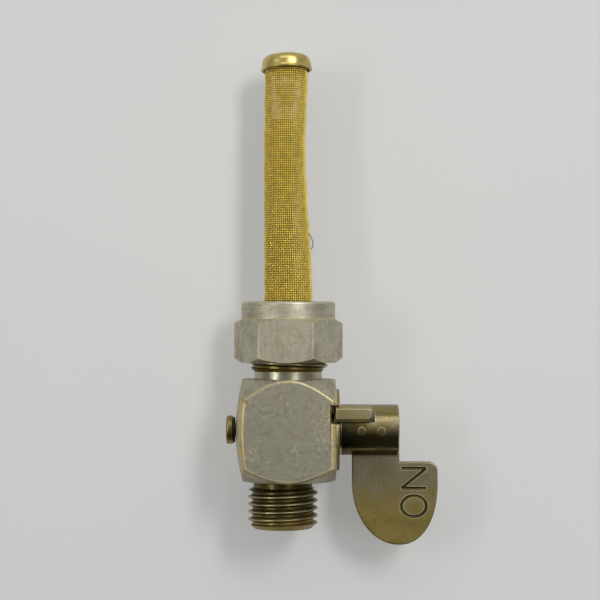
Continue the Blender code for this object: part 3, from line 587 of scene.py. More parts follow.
def wire_brass(name, finish):
    """Brass wire: bright outside the gauze tube, with painted shade in dark brown on the sides
    facing into it and a painted highlight in a pale stripe on its front left.
    """
    shader = Shader(name, 0.7)
    tube_x, tube_y = -0.0005, 0.0003
    highlight_side, highlight_middle, highlight_tint = 0.41, 0.021, (1.0, 0.88, 0.45)
    out = shader.vector_math('NORMALIZE', shader.from_axis(tube_x, tube_y))
    normal = shader.node('ShaderNodeNewGeometry').outputs["Normal"]
    facing = shader.vector_math('DOT_PRODUCT', out, normal)
    tone = shader.step(shader.noise(900, 3), 0.35, 0.7, 0.0, 0.35)
    bright = shader.mix(tone, finish.gauze, finish.patina)
    # Painted shade: wire faces that turn into the tube take the dark brown.
    base = shader.mix(shader.step(facing, -0.15, 0.45), finish.gauze_inside_shade, bright)
    # Painted highlight: a pale upright stripe on the tube's front left side, faded out above and
    # below its middle height.
    beside = shader.math('ABSOLUTE', shader.math('ADD', shader.part(0, out), highlight_side))
    painted_highlight = shader.step(beside, 0.012, 0.03, 0.8, 0.0)
    in_front = shader.math('LESS_THAN', shader.part(1, out), 0.0)
    painted_highlight = shader.math('MULTIPLY', painted_highlight, in_front)
    from_middle = shader.math('ABSOLUTE', shader.math('SUBTRACT', shader.part(2), highlight_middle))
    painted_highlight = shader.math('MULTIPLY', painted_highlight, shader.step(from_middle, 0.009, 0.012, 0.5, 0.0))
    base = shader.mix(painted_highlight, base, highlight_tint)
    return shader.finish(base, 0.32)


def plain_metal(name, tint, roughness, metallic=1.0, grain=0.00002):
    """One metal with a little variation of tone and a fine grain."""
    shader = Shader(name, metallic)
    cloud = shader.noise(420, 4, 0.6)
    base = shader.mix(shader.step(cloud, 0.4, 0.75), tint, shaded(tint, 0.62))
    rough = shader.step(cloud, 0.35, 0.7, roughness, roughness + 0.12)
    return shader.finish(base, rough, shader.bump(shader.noise(2400, 3), grain, 0.4))


class FUELTAP_OT_body(Operator):
    """Model the square bar with turned ends, domed left face, boss, notch and groove"""
    bl_idname = "fueltap.body"
    bl_label = "Body"

    def execute(self, context):
        sizes = context.scene.fuel_tap_sizes
        half = sizes.body_square / 2
        low, high = sizes.body_bottom, sizes.body_top
        body = self.bar(sizes, half, low, high)

        top_slope, bottom_slope = math.radians(48), math.radians(38)
        reach = half * math.sqrt(2) + OVERRUN
        top_fall = (reach - sizes.end_face) * math.tan(top_slope)
        bottom_rise = (reach - sizes.end_face) * math.tan(bottom_slope)
        envelope = [(0, high), (sizes.end_face, high), (reach, high - top_fall),
                    (reach, low + bottom_rise), (sizes.end_face, low), (0, low)]
        combine(body, 'INTERSECT', turned("envelope", envelope, FINE_STEPS))

        boss_face = BODY_HIGH.x
        boss = rod("boss", sizes.boss_radius, half - OVERRUN, boss_face, 'X', PLUG_AXIS)
        combine(body, 'UNION', boss)
        combine(body, 'DIFFERENCE', *self.cutters(sizes, half, boss_face))
        merge_flats(body)
        wear_edges(body, sizes.wear)
        smooth(body)
        # The boss beside the hub gets painted shade.
        material = plated("nickel_plate_body", context.scene.fuel_tap_finishes, True,
                          painted_shade_from=half)
        finish_piece(body, material, "tap_body", "nickel_plate", "body")
        return {'FINISHED'}

    def bar(self, sizes, half, low, high):
        """A bar drawn from its plan and raised in steps; its left face is turned to a dome."""
        radius, dome, apex = sizes.body_edge, sizes.dome_radius, -BODY_LOW.x
        steps, corner_steps = 28, 6
        slope = math.degrees(math.atan((half - radius) / dome))
        end_y = half - radius + radius * math.sin(math.radians(slope))
        corner_x = -apex + end_y ** 2 / 2 / dome + radius * math.cos(math.radians(slope))
        inset = half - radius
        plan = arc((inset, -inset), radius, -90, 0, corner_steps)
        plan += arc((inset, inset), radius, 0, 90, corner_steps)
        plan += arc((corner_x, inset), radius, 90, 180 - slope, corner_steps)
        for step in range(1, steps):
            y = end_y * (1 - 2 * step / steps)
            plan.append((-apex + y * y / 2 / dome, y))
        plan += arc((corner_x, -inset), radius, 180 + slope, 270, corner_steps)
        bar = draw("body_block", [(x, y, low) for x, y in plan])
        bpy.ops.mesh.edge_face_add()
        for _ in range(steps):
            bpy.ops.mesh.extrude_region_move(TRANSFORM_OT_translate={
                "value": (0, 0, (high - low) / steps)})
        clean(bar)
        for vertex in bar.data.vertices:
            if vertex.co.x < -half / 2:
                vertex.co.x += (vertex.co.z - PLUG_AXIS_Z) ** 2 / 2 / dome
        return bar

    def cutters(self, sizes, half, boss_face):
        """Notch and groove for the stop lug, the plug's bore and the ways in and out."""
        gap, bore_gap, notch_depth = 0.00025, 0.00012, 0.0010
        way_radius, outlet_stop = 0.0017, PLUG_AXIS_Z - 0.002
        past = boss_face + OVERRUN
        notch = block("notch", (half - notch_depth, -half - OVERRUN, LUG_LOW.z - gap),
                      (past, LUG_HIGH.y, LUG_HIGH.z + gap))
        floor = LUG_LOW.x - gap
        wide, narrow = PLUG_BIG_RADIUS + bore_gap, PLUG_SMALL_RADIUS + bore_gap
        bore = turned("bore", [(0, past), (wide, past), (wide, LUG_LOW.x),
                               (narrow, PLUG_LOW.x - gap), (0, PLUG_LOW.x - gap)],
                      along='X', centre=PLUG_AXIS)
        screw_way = rod("screw_way", way_radius, BODY_LOW.x - OVERRUN, PLUG_LOW.x, 'X', PLUG_AXIS)
        outlet = rod("outlet", sizes.outlet_bore, BODY_LOW.z, outlet_stop,
                     centre=(sizes.outlet_x, 0, 0))
        return [notch, self.groove(sizes, floor, past), bore, screw_way, outlet]

    def groove(self, sizes, floor, mouth):
        """Part of a ring, from the lug's rest to its far stop half a turn on."""
        inner, steps = PLUG_SMALL_RADIUS, 64
        first = math.atan2(LUG_HIGH.z - PLUG_AXIS_Z, LUG_HIGH.y)
        last = math.atan2(LUG_LOW.z - PLUG_AXIS_Z, LUG_LOW.y)
        margin = math.radians(1.5)
        corners = [(floor, inner), (mouth, inner), (mouth, sizes.groove_radius),
                   (floor, sizes.groove_radius)]
        start = first - margin
        ring = draw("groove", [(x, r * math.cos(start), r * math.sin(start)) for x, r in corners])
        bpy.ops.mesh.edge_face_add()
        sweep = last - first + math.pi + 2 * margin
        bpy.ops.mesh.spin(steps=steps, angle=-sweep, center=(0, 0, 0), axis=(1, 0, 0))
        clean(ring)
        return settle(ring, PLUG_AXIS)


class FUELTAP_OT_stub(Operator):
    """Model the upper stub with its left-hand thread, and the polished neck below it"""
    bl_idname = "fueltap.stub"
    bl_label = "Upper stub"

    def execute(self, context):
        sizes = context.scene.fuel_tap_sizes
        radius, bottom, top = sizes.stub_radius, sizes.stub_bottom, BODY_HIGH.z
        chamfer, first_crest = 0.0006, top - 0.0004
        depth = sizes.pitch * THREAD_DEPTH
        stub = thread("upper_stub", radius, depth, sizes.pitch, bottom - 2 * chamfer,
                      top + OVERRUN, first_crest, left_hand=True)
        envelope = [(0, top), (radius - chamfer, top), (radius, top - chamfer),
                    (radius + OVERRUN, top - chamfer), (radius + OVERRUN, bottom + chamfer),
                    (radius, bottom + chamfer), (sizes.neck_radius, bottom - chamfer),
                    (0, bottom - chamfer)]
        combine(stub, 'INTERSECT', turned("envelope", envelope, FINE_STEPS))
        foot = sizes.body_top - OVERRUN
        finish = context.scene.fuel_tap_finishes
        paint(stub, thread_brass("stub_brass", finish, 0, radius - depth, radius, bottom))
        neck = rod("neck", sizes.neck_radius, foot, bottom + chamfer, steps=FINE_STEPS)
        neck.data.materials.append(plated("nickel_plate_neck", finish, roughness=0.25,
                                          scratches=0.2))
        combine(stub, 'UNION', neck)
        socket = rod("socket", sizes.socket_radius, top - sizes.socket_depth, top + OVERRUN)
        combine(stub, 'DIFFERENCE', socket)
        clean(stub)
        smooth(stub, THREAD_SMOOTH_DEG)
        finish_piece(stub, None, "tap_body", "nickel_plate")
        return {'FINISHED'}


class FUELTAP_OT_outlet(Operator):
    """Model the outlet spigot with its right-hand thread, relief and bore"""
    bl_idname = "fueltap.outlet"
    bl_label = "Outlet"

    def execute(self, context):
        sizes = context.scene.fuel_tap_sizes
        radius, low, start = sizes.outlet_radius, BODY_LOW.z, sizes.body_bottom
        relief, relief_end = radius - 0.0011, start - 0.0013
        depth = sizes.pitch * THREAD_DEPTH
        thread_run_in = relief_end - 0.00055
        lead_in, end_radius = 0.0011, radius - 0.00125
        first_crest = -0.0376 - sizes.pitch / 2
        outlet = thread("outlet_spigot", radius, depth, sizes.pitch, low - OVERRUN,
                        relief_end + OVERRUN, first_crest)
        envelope = [(0, relief_end), (relief, relief_end), (radius, thread_run_in),
                    (radius + OVERRUN, thread_run_in),
                    (radius + OVERRUN, low + lead_in), (radius, low + lead_in),
                    (end_radius, low), (0, low)]
        combine(outlet, 'INTERSECT', turned("envelope", envelope, FINE_STEPS))
        combine(outlet, 'UNION', rod("relief", relief, relief_end - OVERRUN / 2,
                                     start + OVERRUN, steps=FINE_STEPS))
        mouth_height, mouth_width, below = 0.0005, 0.0006, low - 0.0001
        bore = turned("bore", [(0, start + 2 * OVERRUN), (sizes.outlet_bore, start + 2 * OVERRUN),
                               (sizes.outlet_bore, low + mouth_height),
                               (sizes.outlet_bore + mouth_width, below), (0, below)])
        combine(outlet, 'DIFFERENCE', bore)
        clean(outlet)
        settle(outlet, (sizes.outlet_x, 0, 0))
        smooth(outlet, THREAD_SMOOTH_DEG)
        clean_below = low + 0.0022
        material = thread_brass("outlet_brass", context.scene.fuel_tap_finishes,
                                sizes.outlet_x, radius - depth, radius, clean_below)
        finish_piece(outlet, material, "tap_body", "nickel_plate")
        return {'FINISHED'}


class FUELTAP_OT_nut(Operator):
    """Model the union nut: chamfered hexagon, round collar, right and left-hand thread"""
    bl_idname = "fueltap.nut"
    bl_label = "Union nut"

    def execute(self, context):
        sizes = context.scene.fuel_tap_sizes
        low, flat = NUT_LOW.z, NUT_HIGH.y
        corner = flat / math.cos(math.pi / 6)
        collar_radius = flat - 0.00008
        collar_z = -sizes.nut_collar
        corner_round, slope = 0.00025, math.radians(32)
        bpy.ops.object.select_all(action='DESELECT')
        bpy.ops.mesh.primitive_cylinder_add(vertices=6, radius=corner, depth=collar_z - low,
                                            location=(0, 0, (collar_z + low) / 2),
                                            rotation=(0, 0, math.pi / 6 + sizes.nut_turn))
        nut = bpy.context.object
        nut.name = "union_nut_body"
        bpy.ops.object.transform_apply(location=True, rotation=True, scale=True)
        bevel_edges(nut, corner_round, 3, lambda a, b: abs(a.z - b.z) > MERGE)
        widest = corner + OVERRUN
        fall = (widest - collar_radius) * math.tan(slope)
        envelope = [(0, collar_z), (collar_radius, collar_z), (widest, collar_z - fall),
                    (widest, low + fall), (collar_radius, low), (0, low)]
        combine(nut, 'INTERSECT', turned("envelope", envelope, FINE_STEPS))
        rim_round = 0.0006
        rim = arc((collar_radius - rim_round, -rim_round), rim_round, 90, 0, 6)
        overlap = 0.002
        foot = collar_z - overlap
        collar = [(0, 0)] + rim + [(collar_radius, foot), (0, foot)]
        combine(nut, 'UNION', turned("collar", collar, FINE_STEPS))
        lead = 0.0005
        bore = [(0, OVERRUN), (sizes.nut_bore + lead + OVERRUN, OVERRUN),
                (sizes.nut_bore, -lead), (sizes.nut_bore, low - OVERRUN), (0, low - OVERRUN)]
        combine(nut, 'DIFFERENCE', turned("bore", bore, FINE_STEPS))
        depth = sizes.pitch * 0.45
        crest = sizes.nut_bore + depth - 0.00004
        upper_end, lower_end = -0.0050, -0.0068
        upper_crest, lower_crest = -0.0012, low + 0.0011
        upper = thread("upper_thread", crest, depth, sizes.pitch, upper_end, OVERRUN, upper_crest)
        lower = thread("lower_thread", crest, depth, sizes.pitch, low - OVERRUN, lower_end,
                       lower_crest, left_hand=True)
        combine(nut, 'DIFFERENCE', upper, lower)
        clean(nut)
        smooth(nut)
        material = plated("nickel_plate_nut", context.scene.fuel_tap_finishes, roughness=0.45,
                          scratches=0.7, streaks=0.3, light=1.28)
        finish_piece(nut, material, "union_nut", "nickel_plate", "union_nut")
        return {'FINISHED'}


def strainer_place(height):
    """Centre x, centre y and radius of the slightly bent gauze tube at each height."""
    base_radius, waist_radius, top_radius = 0.00485, 0.0042, GAUZE_TOP_RADIUS
    waist, top = 0.031, 0.0488
    lean_x, top_lean_x, lean_y = -0.0007, -0.00038, 0.0012
    height = np.asarray(height, dtype=float)
    lower = np.clip(height / waist, 0, 1)
    lower = lower * lower * (3 - 2 * lower)
    upper = np.clip((height - waist) / (top - waist), 0, 1)
    upper = upper * upper * (3 - 2 * upper)
    x = lean_x * lower + (top_lean_x - lean_x) * upper
    y = lean_y * (np.clip(height, 0, None) / top) ** 3
    radius = (base_radius + (waist_radius - base_radius) * lower
              + (top_radius - waist_radius) * upper)
    return x, y, radius


class FUELTAP_OT_strainer(Operator):
    """Weave the strainer's brass wire cloth flat and roll it into its bent tube"""
    bl_idname = "fueltap.strainer"
    bl_label = "Strainer gauze"

    def execute(self, context):
        sizes = context.scene.fuel_tap_sizes
        finish = context.scene.fuel_tap_finishes
        material = wire_brass("gauze_brass", finish)
        pitch = sizes.mesh_pitch
        above_ferrule = 0.0005
        low, high = GAUZE_LOW.z + above_ferrule, GAUZE_HIGH.z
        rings = 2 * int((high - low) / pitch / 2)
        around = sizes.mesh_wires
        upright = self.cloth("gauze_upright_wires", sizes, rings, around, 1.0)
        self.roll(upright, sizes, low, False)
        level = self.cloth("gauze_level_wires", sizes, around, rings, -1.0)
        self.roll(level, sizes, low, True)
        finish_piece(upright, material, "tap_body", "gauze_brass", "strainer_gauze")
        finish_piece(level, material, "tap_body", "gauze_brass", "strainer_gauze")
        self.stray_wire(sizes, plain_metal("stray_wire_brass", finish.patina_dark, 0.35))
        return {'FINISHED'}

    def cloth(self, name, sizes, length_count, width_count, side):
        """Waved wires side by side; neighbours are half a wave apart, as in plain weave."""
        pitch, radius = sizes.mesh_pitch, sizes.wire
        bpy.ops.object.select_all(action='DESELECT')
        bpy.ops.mesh.primitive_circle_add(vertices=4, radius=radius, location=(0, 0, side * radius),
                                          rotation=(math.pi / 2, 0, 0))
        wire = bpy.context.object
        wire.name = name
        bpy.ops.object.transform_apply(location=True, rotation=True, scale=True)
        edit_all(wire)
        for change in (-1, -1, 1, 1):
            bpy.ops.mesh.extrude_region_move(TRANSFORM_OT_translate={
                "value": (0, pitch / 2, side * change * radius)})
        clean(wire)
        self.repeat(wire, (0, 2 * pitch, 0), length_count // 2, True)
        only(wire)
        bpy.ops.object.duplicate()
        neighbour = bpy.context.object
        settle(neighbour, (pitch, pitch, 0))
        wire.select_set(True)
        bpy.context.view_layer.objects.active = wire
        bpy.ops.object.join()
        self.repeat(wire, (2 * pitch, 0, 0), width_count // 2, False)
        return wire

    def repeat(self, obj, offset, count, merge):
        """Copies in a row, joined end to end or left apart."""
        array = obj.modifiers.new("repeat", 'ARRAY')
        array.use_relative_offset = False
        array.use_constant_offset = True
        array.constant_offset_displace = offset
        array.count = count
        array.use_merge_vertices = merge
        array.merge_threshold = MERGE * 10
        apply_modifiers(obj)

    def roll(self, obj, sizes, low, level):
        """Roll the flat cloth up; level wires run round the tube, the others along it."""
        count = len(obj.data.vertices)
        flat = np.zeros(count * 3)
        obj.data.vertices.foreach_get("co", flat)
        flat = flat.reshape(-1, 3)
        across, along = (flat[:, 1], flat[:, 0]) if level else (flat[:, 0], flat[:, 1])
        quarter_pitch = sizes.mesh_pitch / 4
        turn = math.tau * (across + quarter_pitch) / (sizes.mesh_wires * sizes.mesh_pitch)
        height = low + along
        uneven = 0.00004 * np.sin(turn * 3 + height * 900) + 0.00003 * np.sin(height * 2100)
        x, y, radius = strainer_place(height)
        out = radius - 2 * sizes.wire + flat[:, 2] + uneven
        turn = turn + 0.012 * np.sin(height * 260)
        rolled = np.stack([x + out * np.cos(turn), y + out * np.sin(turn), height], axis=1)
        obj.data.vertices.foreach_set("co", rolled.ravel())
        obj.data.update()
        clean(obj)
        edit_all(obj)
        bpy.ops.mesh.fill_holes(sides=4)
        clean(obj)
        only(obj)
        bpy.ops.object.shade_smooth()

    def stray_wire(self, sizes, material):
        """A broken wire that stands off the gauze's right side and hooks back down."""
        points = [(0.0040, -0.0008, 0.0139), (0.0044, -0.0010, 0.0133), (0.0048, -0.0011, 0.0124),
                  (0.0050, -0.0011, 0.0117), (0.0048, -0.0010, 0.0109), (0.0045, -0.0009, 0.0105)]
        stray = draw("gauze_stray_wire", points)
        bpy.ops.object.mode_set(mode='OBJECT')
        only(stray)
        bpy.ops.object.convert(target='CURVE')
        thinned = 0.7
        stray.data.bevel_depth = sizes.wire * thinned
        stray.data.bevel_resolution = 1
        stray.data.use_fill_caps = True
        bpy.ops.object.convert(target='MESH')
        clean(stray)
        only(stray)
        bpy.ops.object.shade_smooth()
        finish_piece(stray, material, "tap_body", "gauze_brass")


class FUELTAP_OT_cap(Operator):
    """Turn the pressed brass cap with its rolled lip, and set it askew on the gauze"""
    bl_idname = "fueltap.cap"
    bl_label = "Strainer cap"

    def execute(self, context):
        height, wall, lip, clearance = 0.0030, 0.0003, 0.0002, 0.0003
        inner = GAUZE_TOP_RADIUS + clearance
        outer = inner + wall
        crown_wide, crown_high = 0.0014, 0.0017
        rim = -height
        quarter = [(math.sin(math.pi / 2 * k / 10), math.cos(math.pi / 2 * k / 10))
                   for k in range(11)]
        outline = [(0, 0)]
        outline += [(outer - crown_wide * (1 - across), crown_high * (up - 1))
                    for across, up in quarter]
        outline += [(outer + 0.00002, rim + 0.0007), (outer + 0.00006, rim + 0.0005)]
        outline += arc((outer, rim + lip), lip, 40, -90, 8)
        outline += [(inner, rim)]
        outline += [(inner - crown_wide * (1 - across), crown_high * (up - 1) - wall)
                    for across, up in reversed(quarter)]
        outline += [(0, -wall)]
        cap = turned("strainer_cap_shell", outline, FINE_STEPS)
        x, y, _ = strainer_place(CAP_TOP - height / 2)
        lean = math.atan2(float(strainer_place(CAP_TOP)[1]
                                - strainer_place(CAP_TOP - height)[1]), height)
        tilt, top = math.radians(-1.8), 0.0496
        settle(cap, (0, 0, height / 2))
        settle(cap, rotation=(-lean, tilt, 0))
        settle(cap, (float(x), float(y), top - height / 2))
        smooth(cap, 40)
        material = plain_metal("cap_brass", context.scene.fuel_tap_finishes.cap, 0.29)
        finish_piece(cap, material, "tap_body", "bright_brass", "strainer_cap")
        return {'FINISHED'}


def pin_places():
    """Where the two cross pins stand along the plug's axis."""
    return [(low.x + high.x) / 2 for low, high in map(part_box, PIN_NODES)]


class FUELTAP_OT_plug(Operator):
    """Turn the taper plug and its hub, and cut its slot, key seat and passages"""
    bl_idname = "fueltap.plug"
    bl_label = "Taper plug"

    def execute(self, context):
        sizes = context.scene.fuel_tap_sizes
        finish = context.scene.fuel_tap_finishes
        hub, end, shoulder, chamfer = sizes.hub_radius, PLUG_HIGH.x, 0.0105, 0.0002
        outline = [(0, end), (hub - chamfer, end), (hub, end - chamfer), (hub, shoulder),
                   (PLUG_BIG_RADIUS, shoulder), (PLUG_BIG_RADIUS, LUG_LOW.x),
                   (PLUG_SMALL_RADIUS, PLUG_LOW.x), (0, PLUG_LOW.x)]
        plug = turned("plug_hub", outline, FINE_STEPS, 'X', PLUG_AXIS)
        gap, pin_gap = 0.00015, 0.00003
        port_radius, port_half, port_x = 0.0013, 0.006, -0.0016
        slot = block("slot", (BLADE_LOW.x - gap, BLADE_LOW.y - gap, PLUG_LOW.z - OVERRUN),
                     (end + OVERRUN, BLADE_HIGH.y + gap, BLADE_HIGH.z + gap))
        seat = block("seat", LUG_LOW - Vector((gap, gap, gap)), LUG_HIGH + Vector((gap, gap, gap)))
        holes = [cross_rod("pin_hole", self.pin_radius() + pin_gap, hub + OVERRUN,
                           Vector((x, 0, PLUG_AXIS_Z))) for x in pin_places()]
        port = rod("port", port_radius, -port_half, port_half,
                   centre=(port_x, 0, PLUG_AXIS_Z), steps=48)
        combine(plug, 'DIFFERENCE', slot, seat, port, *holes)
        smooth(plug)
        # The hub's end beside the body and the stop lug gets painted shade.
        material = patina_brass("hub_brass", finish, roughness=0.19, metallic=1.0,
                                light=1.15, painted_shade_to=0.0135)
        finish_piece(plug, material, "plug_and_lever", "patinated_brass", "taper_plug")
        self.add_pins(hub, finish)
        return {'FINISHED'}

    def pin_radius(self):
        low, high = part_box(PIN_NODES[0])
        return (high.x - low.x) / 2

    def add_pins(self, hub, finish):
        """Cross pins, their ends filed flush with the round hub."""
        material = patina_brass("pin_brass", finish, roughness=0.24, metallic=1.0)
        sunk, reach = 0.00001, 0.003
        for node, x in zip(PIN_NODES, pin_places()):
            pin = cross_rod(f"{node}_piece", self.pin_radius(), hub + OVERRUN,
                            Vector((x, 0, PLUG_AXIS_Z)))
            file_round = rod("file_round", hub - sunk, x - reach, x + reach, 'X', PLUG_AXIS,
                             FINE_STEPS)
            combine(pin, 'INTERSECT', file_round)
            wear_edges(pin, 0.00003)
            smooth(pin, 20)
            finish_piece(pin, material, "plug_and_lever", "patinated_brass", node)


class FUELTAP_OT_lug(Operator):
    """Model the stop lug: a bar with a rounded end, a chamfered front and rubbed edges"""
    bl_idname = "fueltap.lug"
    bl_label = "Stop lug"

    def execute(self, context):
        end_round, front_chamfer = 0.0012, 0.0006
        at_end, at_front = LUG_HIGH.x - MERGE, LUG_LOW.y + MERGE
        lug = block("stop_lug_bar", LUG_LOW, LUG_HIGH)
        bevel_edges(lug, end_round, 3, lambda a, b: min(a.x, b.x) > at_end
                    and abs(a.y - b.y) > MERGE)
        bevel_edges(lug, front_chamfer, 1, lambda a, b: max(a.y, b.y) < at_front
                    and max(a.x, b.x) > LUG_LOW.x + MERGE)
        wear_edges(lug, 0.00012, 2, 35)
        smooth(lug)
        material = patina_brass("lug_brass", context.scene.fuel_tap_finishes, rubbed=0.0006,
                                light=1.5)
        finish_piece(lug, material, "plug_and_lever", "patinated_brass", "stop_lug")
        return {'FINISHED'}


class FUELTAP_OT_lever(Operator):
    """Cut the lever blade from plate and engrave ON in it, reading upwards"""
    bl_idname = "fueltap.lever"
    bl_label = "Lever blade"

    def execute(self, context):
        sizes = context.scene.fuel_tap_sizes
        finish = context.scene.fuel_tap_finishes
        blade = plate("lever_plate", self.outline(), sizes.blade_thickness)
        wear_edges(blade, 0.00030, 4, 35)
        blade.data.materials.append(patina_brass("lever_brass", finish, BLADE_LOW.z,
                                                 rubbed=0.0004, light=1.05))
        engraved = plain_metal("engraved_brass", finish.patina_dark, 0.55)
        hole_radius = 0.0009
        holes = [cross_rod("pin_hole", hole_radius, sizes.blade_thickness,
                           Vector((x, 0, PLUG_AXIS_Z))) for x in pin_places()]
        combine(blade, 'DIFFERENCE', *holes)
        combine(blade, 'DIFFERENCE', *self.strokes(sizes, engraved))
        clean(blade)
        smooth(blade)
        finish_piece(blade, None, "plug_and_lever", "patinated_brass", "lever_blade")
        return {'FINISHED'}

    def outline(self):
        """Stem down from the hub, then a shoulder to the right and a long round lobe."""
        left, tip, top, bottom = BLADE_LOW.x, BLADE_HIGH.x, BLADE_HIGH.z, BLADE_LOW.z
        stem, shoulder, widest, lobe = 0.0223, PLUG_AXIS_Z - 0.0064, PLUG_AXIS_Z - 0.0107, 0.0222
        corner, depth, quarter, power = 0.0019, widest - bottom, 20, 2 / 2.2
        points = [(left, top), (stem, top), (stem, shoulder)]
        points += arc((tip - corner, shoulder - corner), corner, 90, 8, 8)
        for step in range(quarter + 1):
            angle = math.pi / 2 * step / quarter
            points.append((lobe + (tip - lobe) * math.cos(angle) ** power,
                           widest - depth * math.sin(angle) ** power))
        for step in range(1, quarter + 1):
            angle = math.pi / 2 * (1 - step / quarter)
            points.append((lobe - (lobe - left) * math.cos(angle),
                           widest - depth * math.sin(angle)))
        return points

    def strokes(self, sizes, material):
        """Round-bottomed grooves: an O and an N, turned to read from the bottom upwards."""
        foot_x, letter_height, start_z = 0.0277, 0.0050, -0.0431
        o_half, o_steps = 0.0021, 28
        ring = [(o_half + o_half * math.cos(math.tau * k / o_steps),
                 letter_height / 2 + letter_height / 2 * math.sin(math.tau * k / o_steps))
                for k in range(o_steps)]
        n_from, n_wide = 0.0057, 0.0040
        n_lines = [[(n_from, 0), (n_from, letter_height)],
                   [(n_from, letter_height), (n_from + n_wide, 0)],
                   [(n_from + n_wide, 0), (n_from + n_wide, letter_height)]]
        front = BLADE_LOW.y
        tools = []
        for number, line in enumerate([ring + ring[:1]] + n_lines):
            points = [(foot_x - up, front, start_z + along) for along, up in line]
            groove = draw(f"stroke_{number}", points)
            clean(groove)
            bpy.ops.object.convert(target='CURVE')
            groove.data.bevel_depth = sizes.stroke
            groove.data.bevel_resolution = 2
            groove.data.use_fill_caps = True
            bpy.ops.object.convert(target='MESH')
            clean(groove)
            groove.data.materials.append(material)
            tools.append(groove)
        return tools


class FUELTAP_OT_screw(Operator):
    """Turn the retaining screw, saw its slot and lay the split washer under its head"""
    bl_idname = "fueltap.screw"
    bl_label = "Retaining screw"

    def execute(self, context):
        finish = context.scene.fuel_tap_finishes
        radius = (SCREW_HIGH.z - SCREW_LOW.z) / 2
        head_end, head = SCREW_LOW.x, SCREW_LOW.x + 0.0013
        shank, crown = 0.0014, 0.0005
        slot_half, slot_depth, slot_turn = 0.0003, 0.0005, math.radians(62)
        outline = [(0, SCREW_HIGH.x), (shank, SCREW_HIGH.x), (shank, head), (radius - 0.0001, head),
                   (radius, head - 0.0001)]
        outline += arc((radius - crown, head_end + crown), crown, 0, -80, 6)
        outline += [(radius * 0.4, head_end + 0.00002), (0, head_end)]
        screw = turned("screw_with_slot", outline, FINE_STEPS, 'X', PLUG_AXIS)
        slot = block("slot", (head_end - OVERRUN, -radius - OVERRUN, -slot_half),
                     (head_end + slot_depth, radius + OVERRUN, slot_half))
        combine(screw, 'DIFFERENCE', settle(slot, PLUG_AXIS, (slot_turn, 0, 0)))
        wear_edges(screw, 0.00006)
        smooth(screw)
        finish_piece(screw, plain_metal("screw_bronze", finish.bronze, 0.34), "plug_and_lever",
                     "dark_bronze", "retaining_screw")

        washer_radius = (WASHER_HIGH.z - WASHER_LOW.z) / 2
        hole, split_half = shank + 0.00015, 0.0002
        ring = turned("split_washer", [(hole, WASHER_HIGH.x), (washer_radius, WASHER_HIGH.x),
                                       (washer_radius, WASHER_LOW.x), (hole, WASHER_LOW.x),
                                       (hole, WASHER_HIGH.x)], along='X', centre=PLUG_AXIS)
        split = block("split", (WASHER_LOW.x - OVERRUN, 0, PLUG_AXIS_Z - split_half),
                      (WASHER_HIGH.x + OVERRUN, washer_radius + OVERRUN, PLUG_AXIS_Z + split_half))
        combine(ring, 'DIFFERENCE', split)
        wear_edges(ring, 0.00004)
        smooth(ring)
        finish_piece(ring, plain_metal("washer_steel", finish.steel, 0.42), "plug_and_lever",
                     "dark_steel", "spring_washer")
        return {'FINISHED'}


class FUELTAP_OT_hidden(Operator):
    """Give the inner pieces that keep their own shape a finish"""
    bl_idname = "fueltap.hidden"
    bl_label = "Inner pieces"

    def execute(self, context):
        finish = context.scene.fuel_tap_finishes
        brass = plain_metal("inner_brass", finish.worn_brass, 0.3)
        fibre = plain_metal("fibre_ring", finish.fibre, 0.75, 0.0, 0.00004)
        pipe = plain_metal("standpipe_brass", finish.pipe, 0.42)
        for name, material in (("standpipe", pipe), ("strainer_ferrule", brass),
                               ("tank_seal_washer", fibre)):
            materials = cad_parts[name].data.materials
            materials.clear()
            materials.append(material)
        return {'FINISHED'}


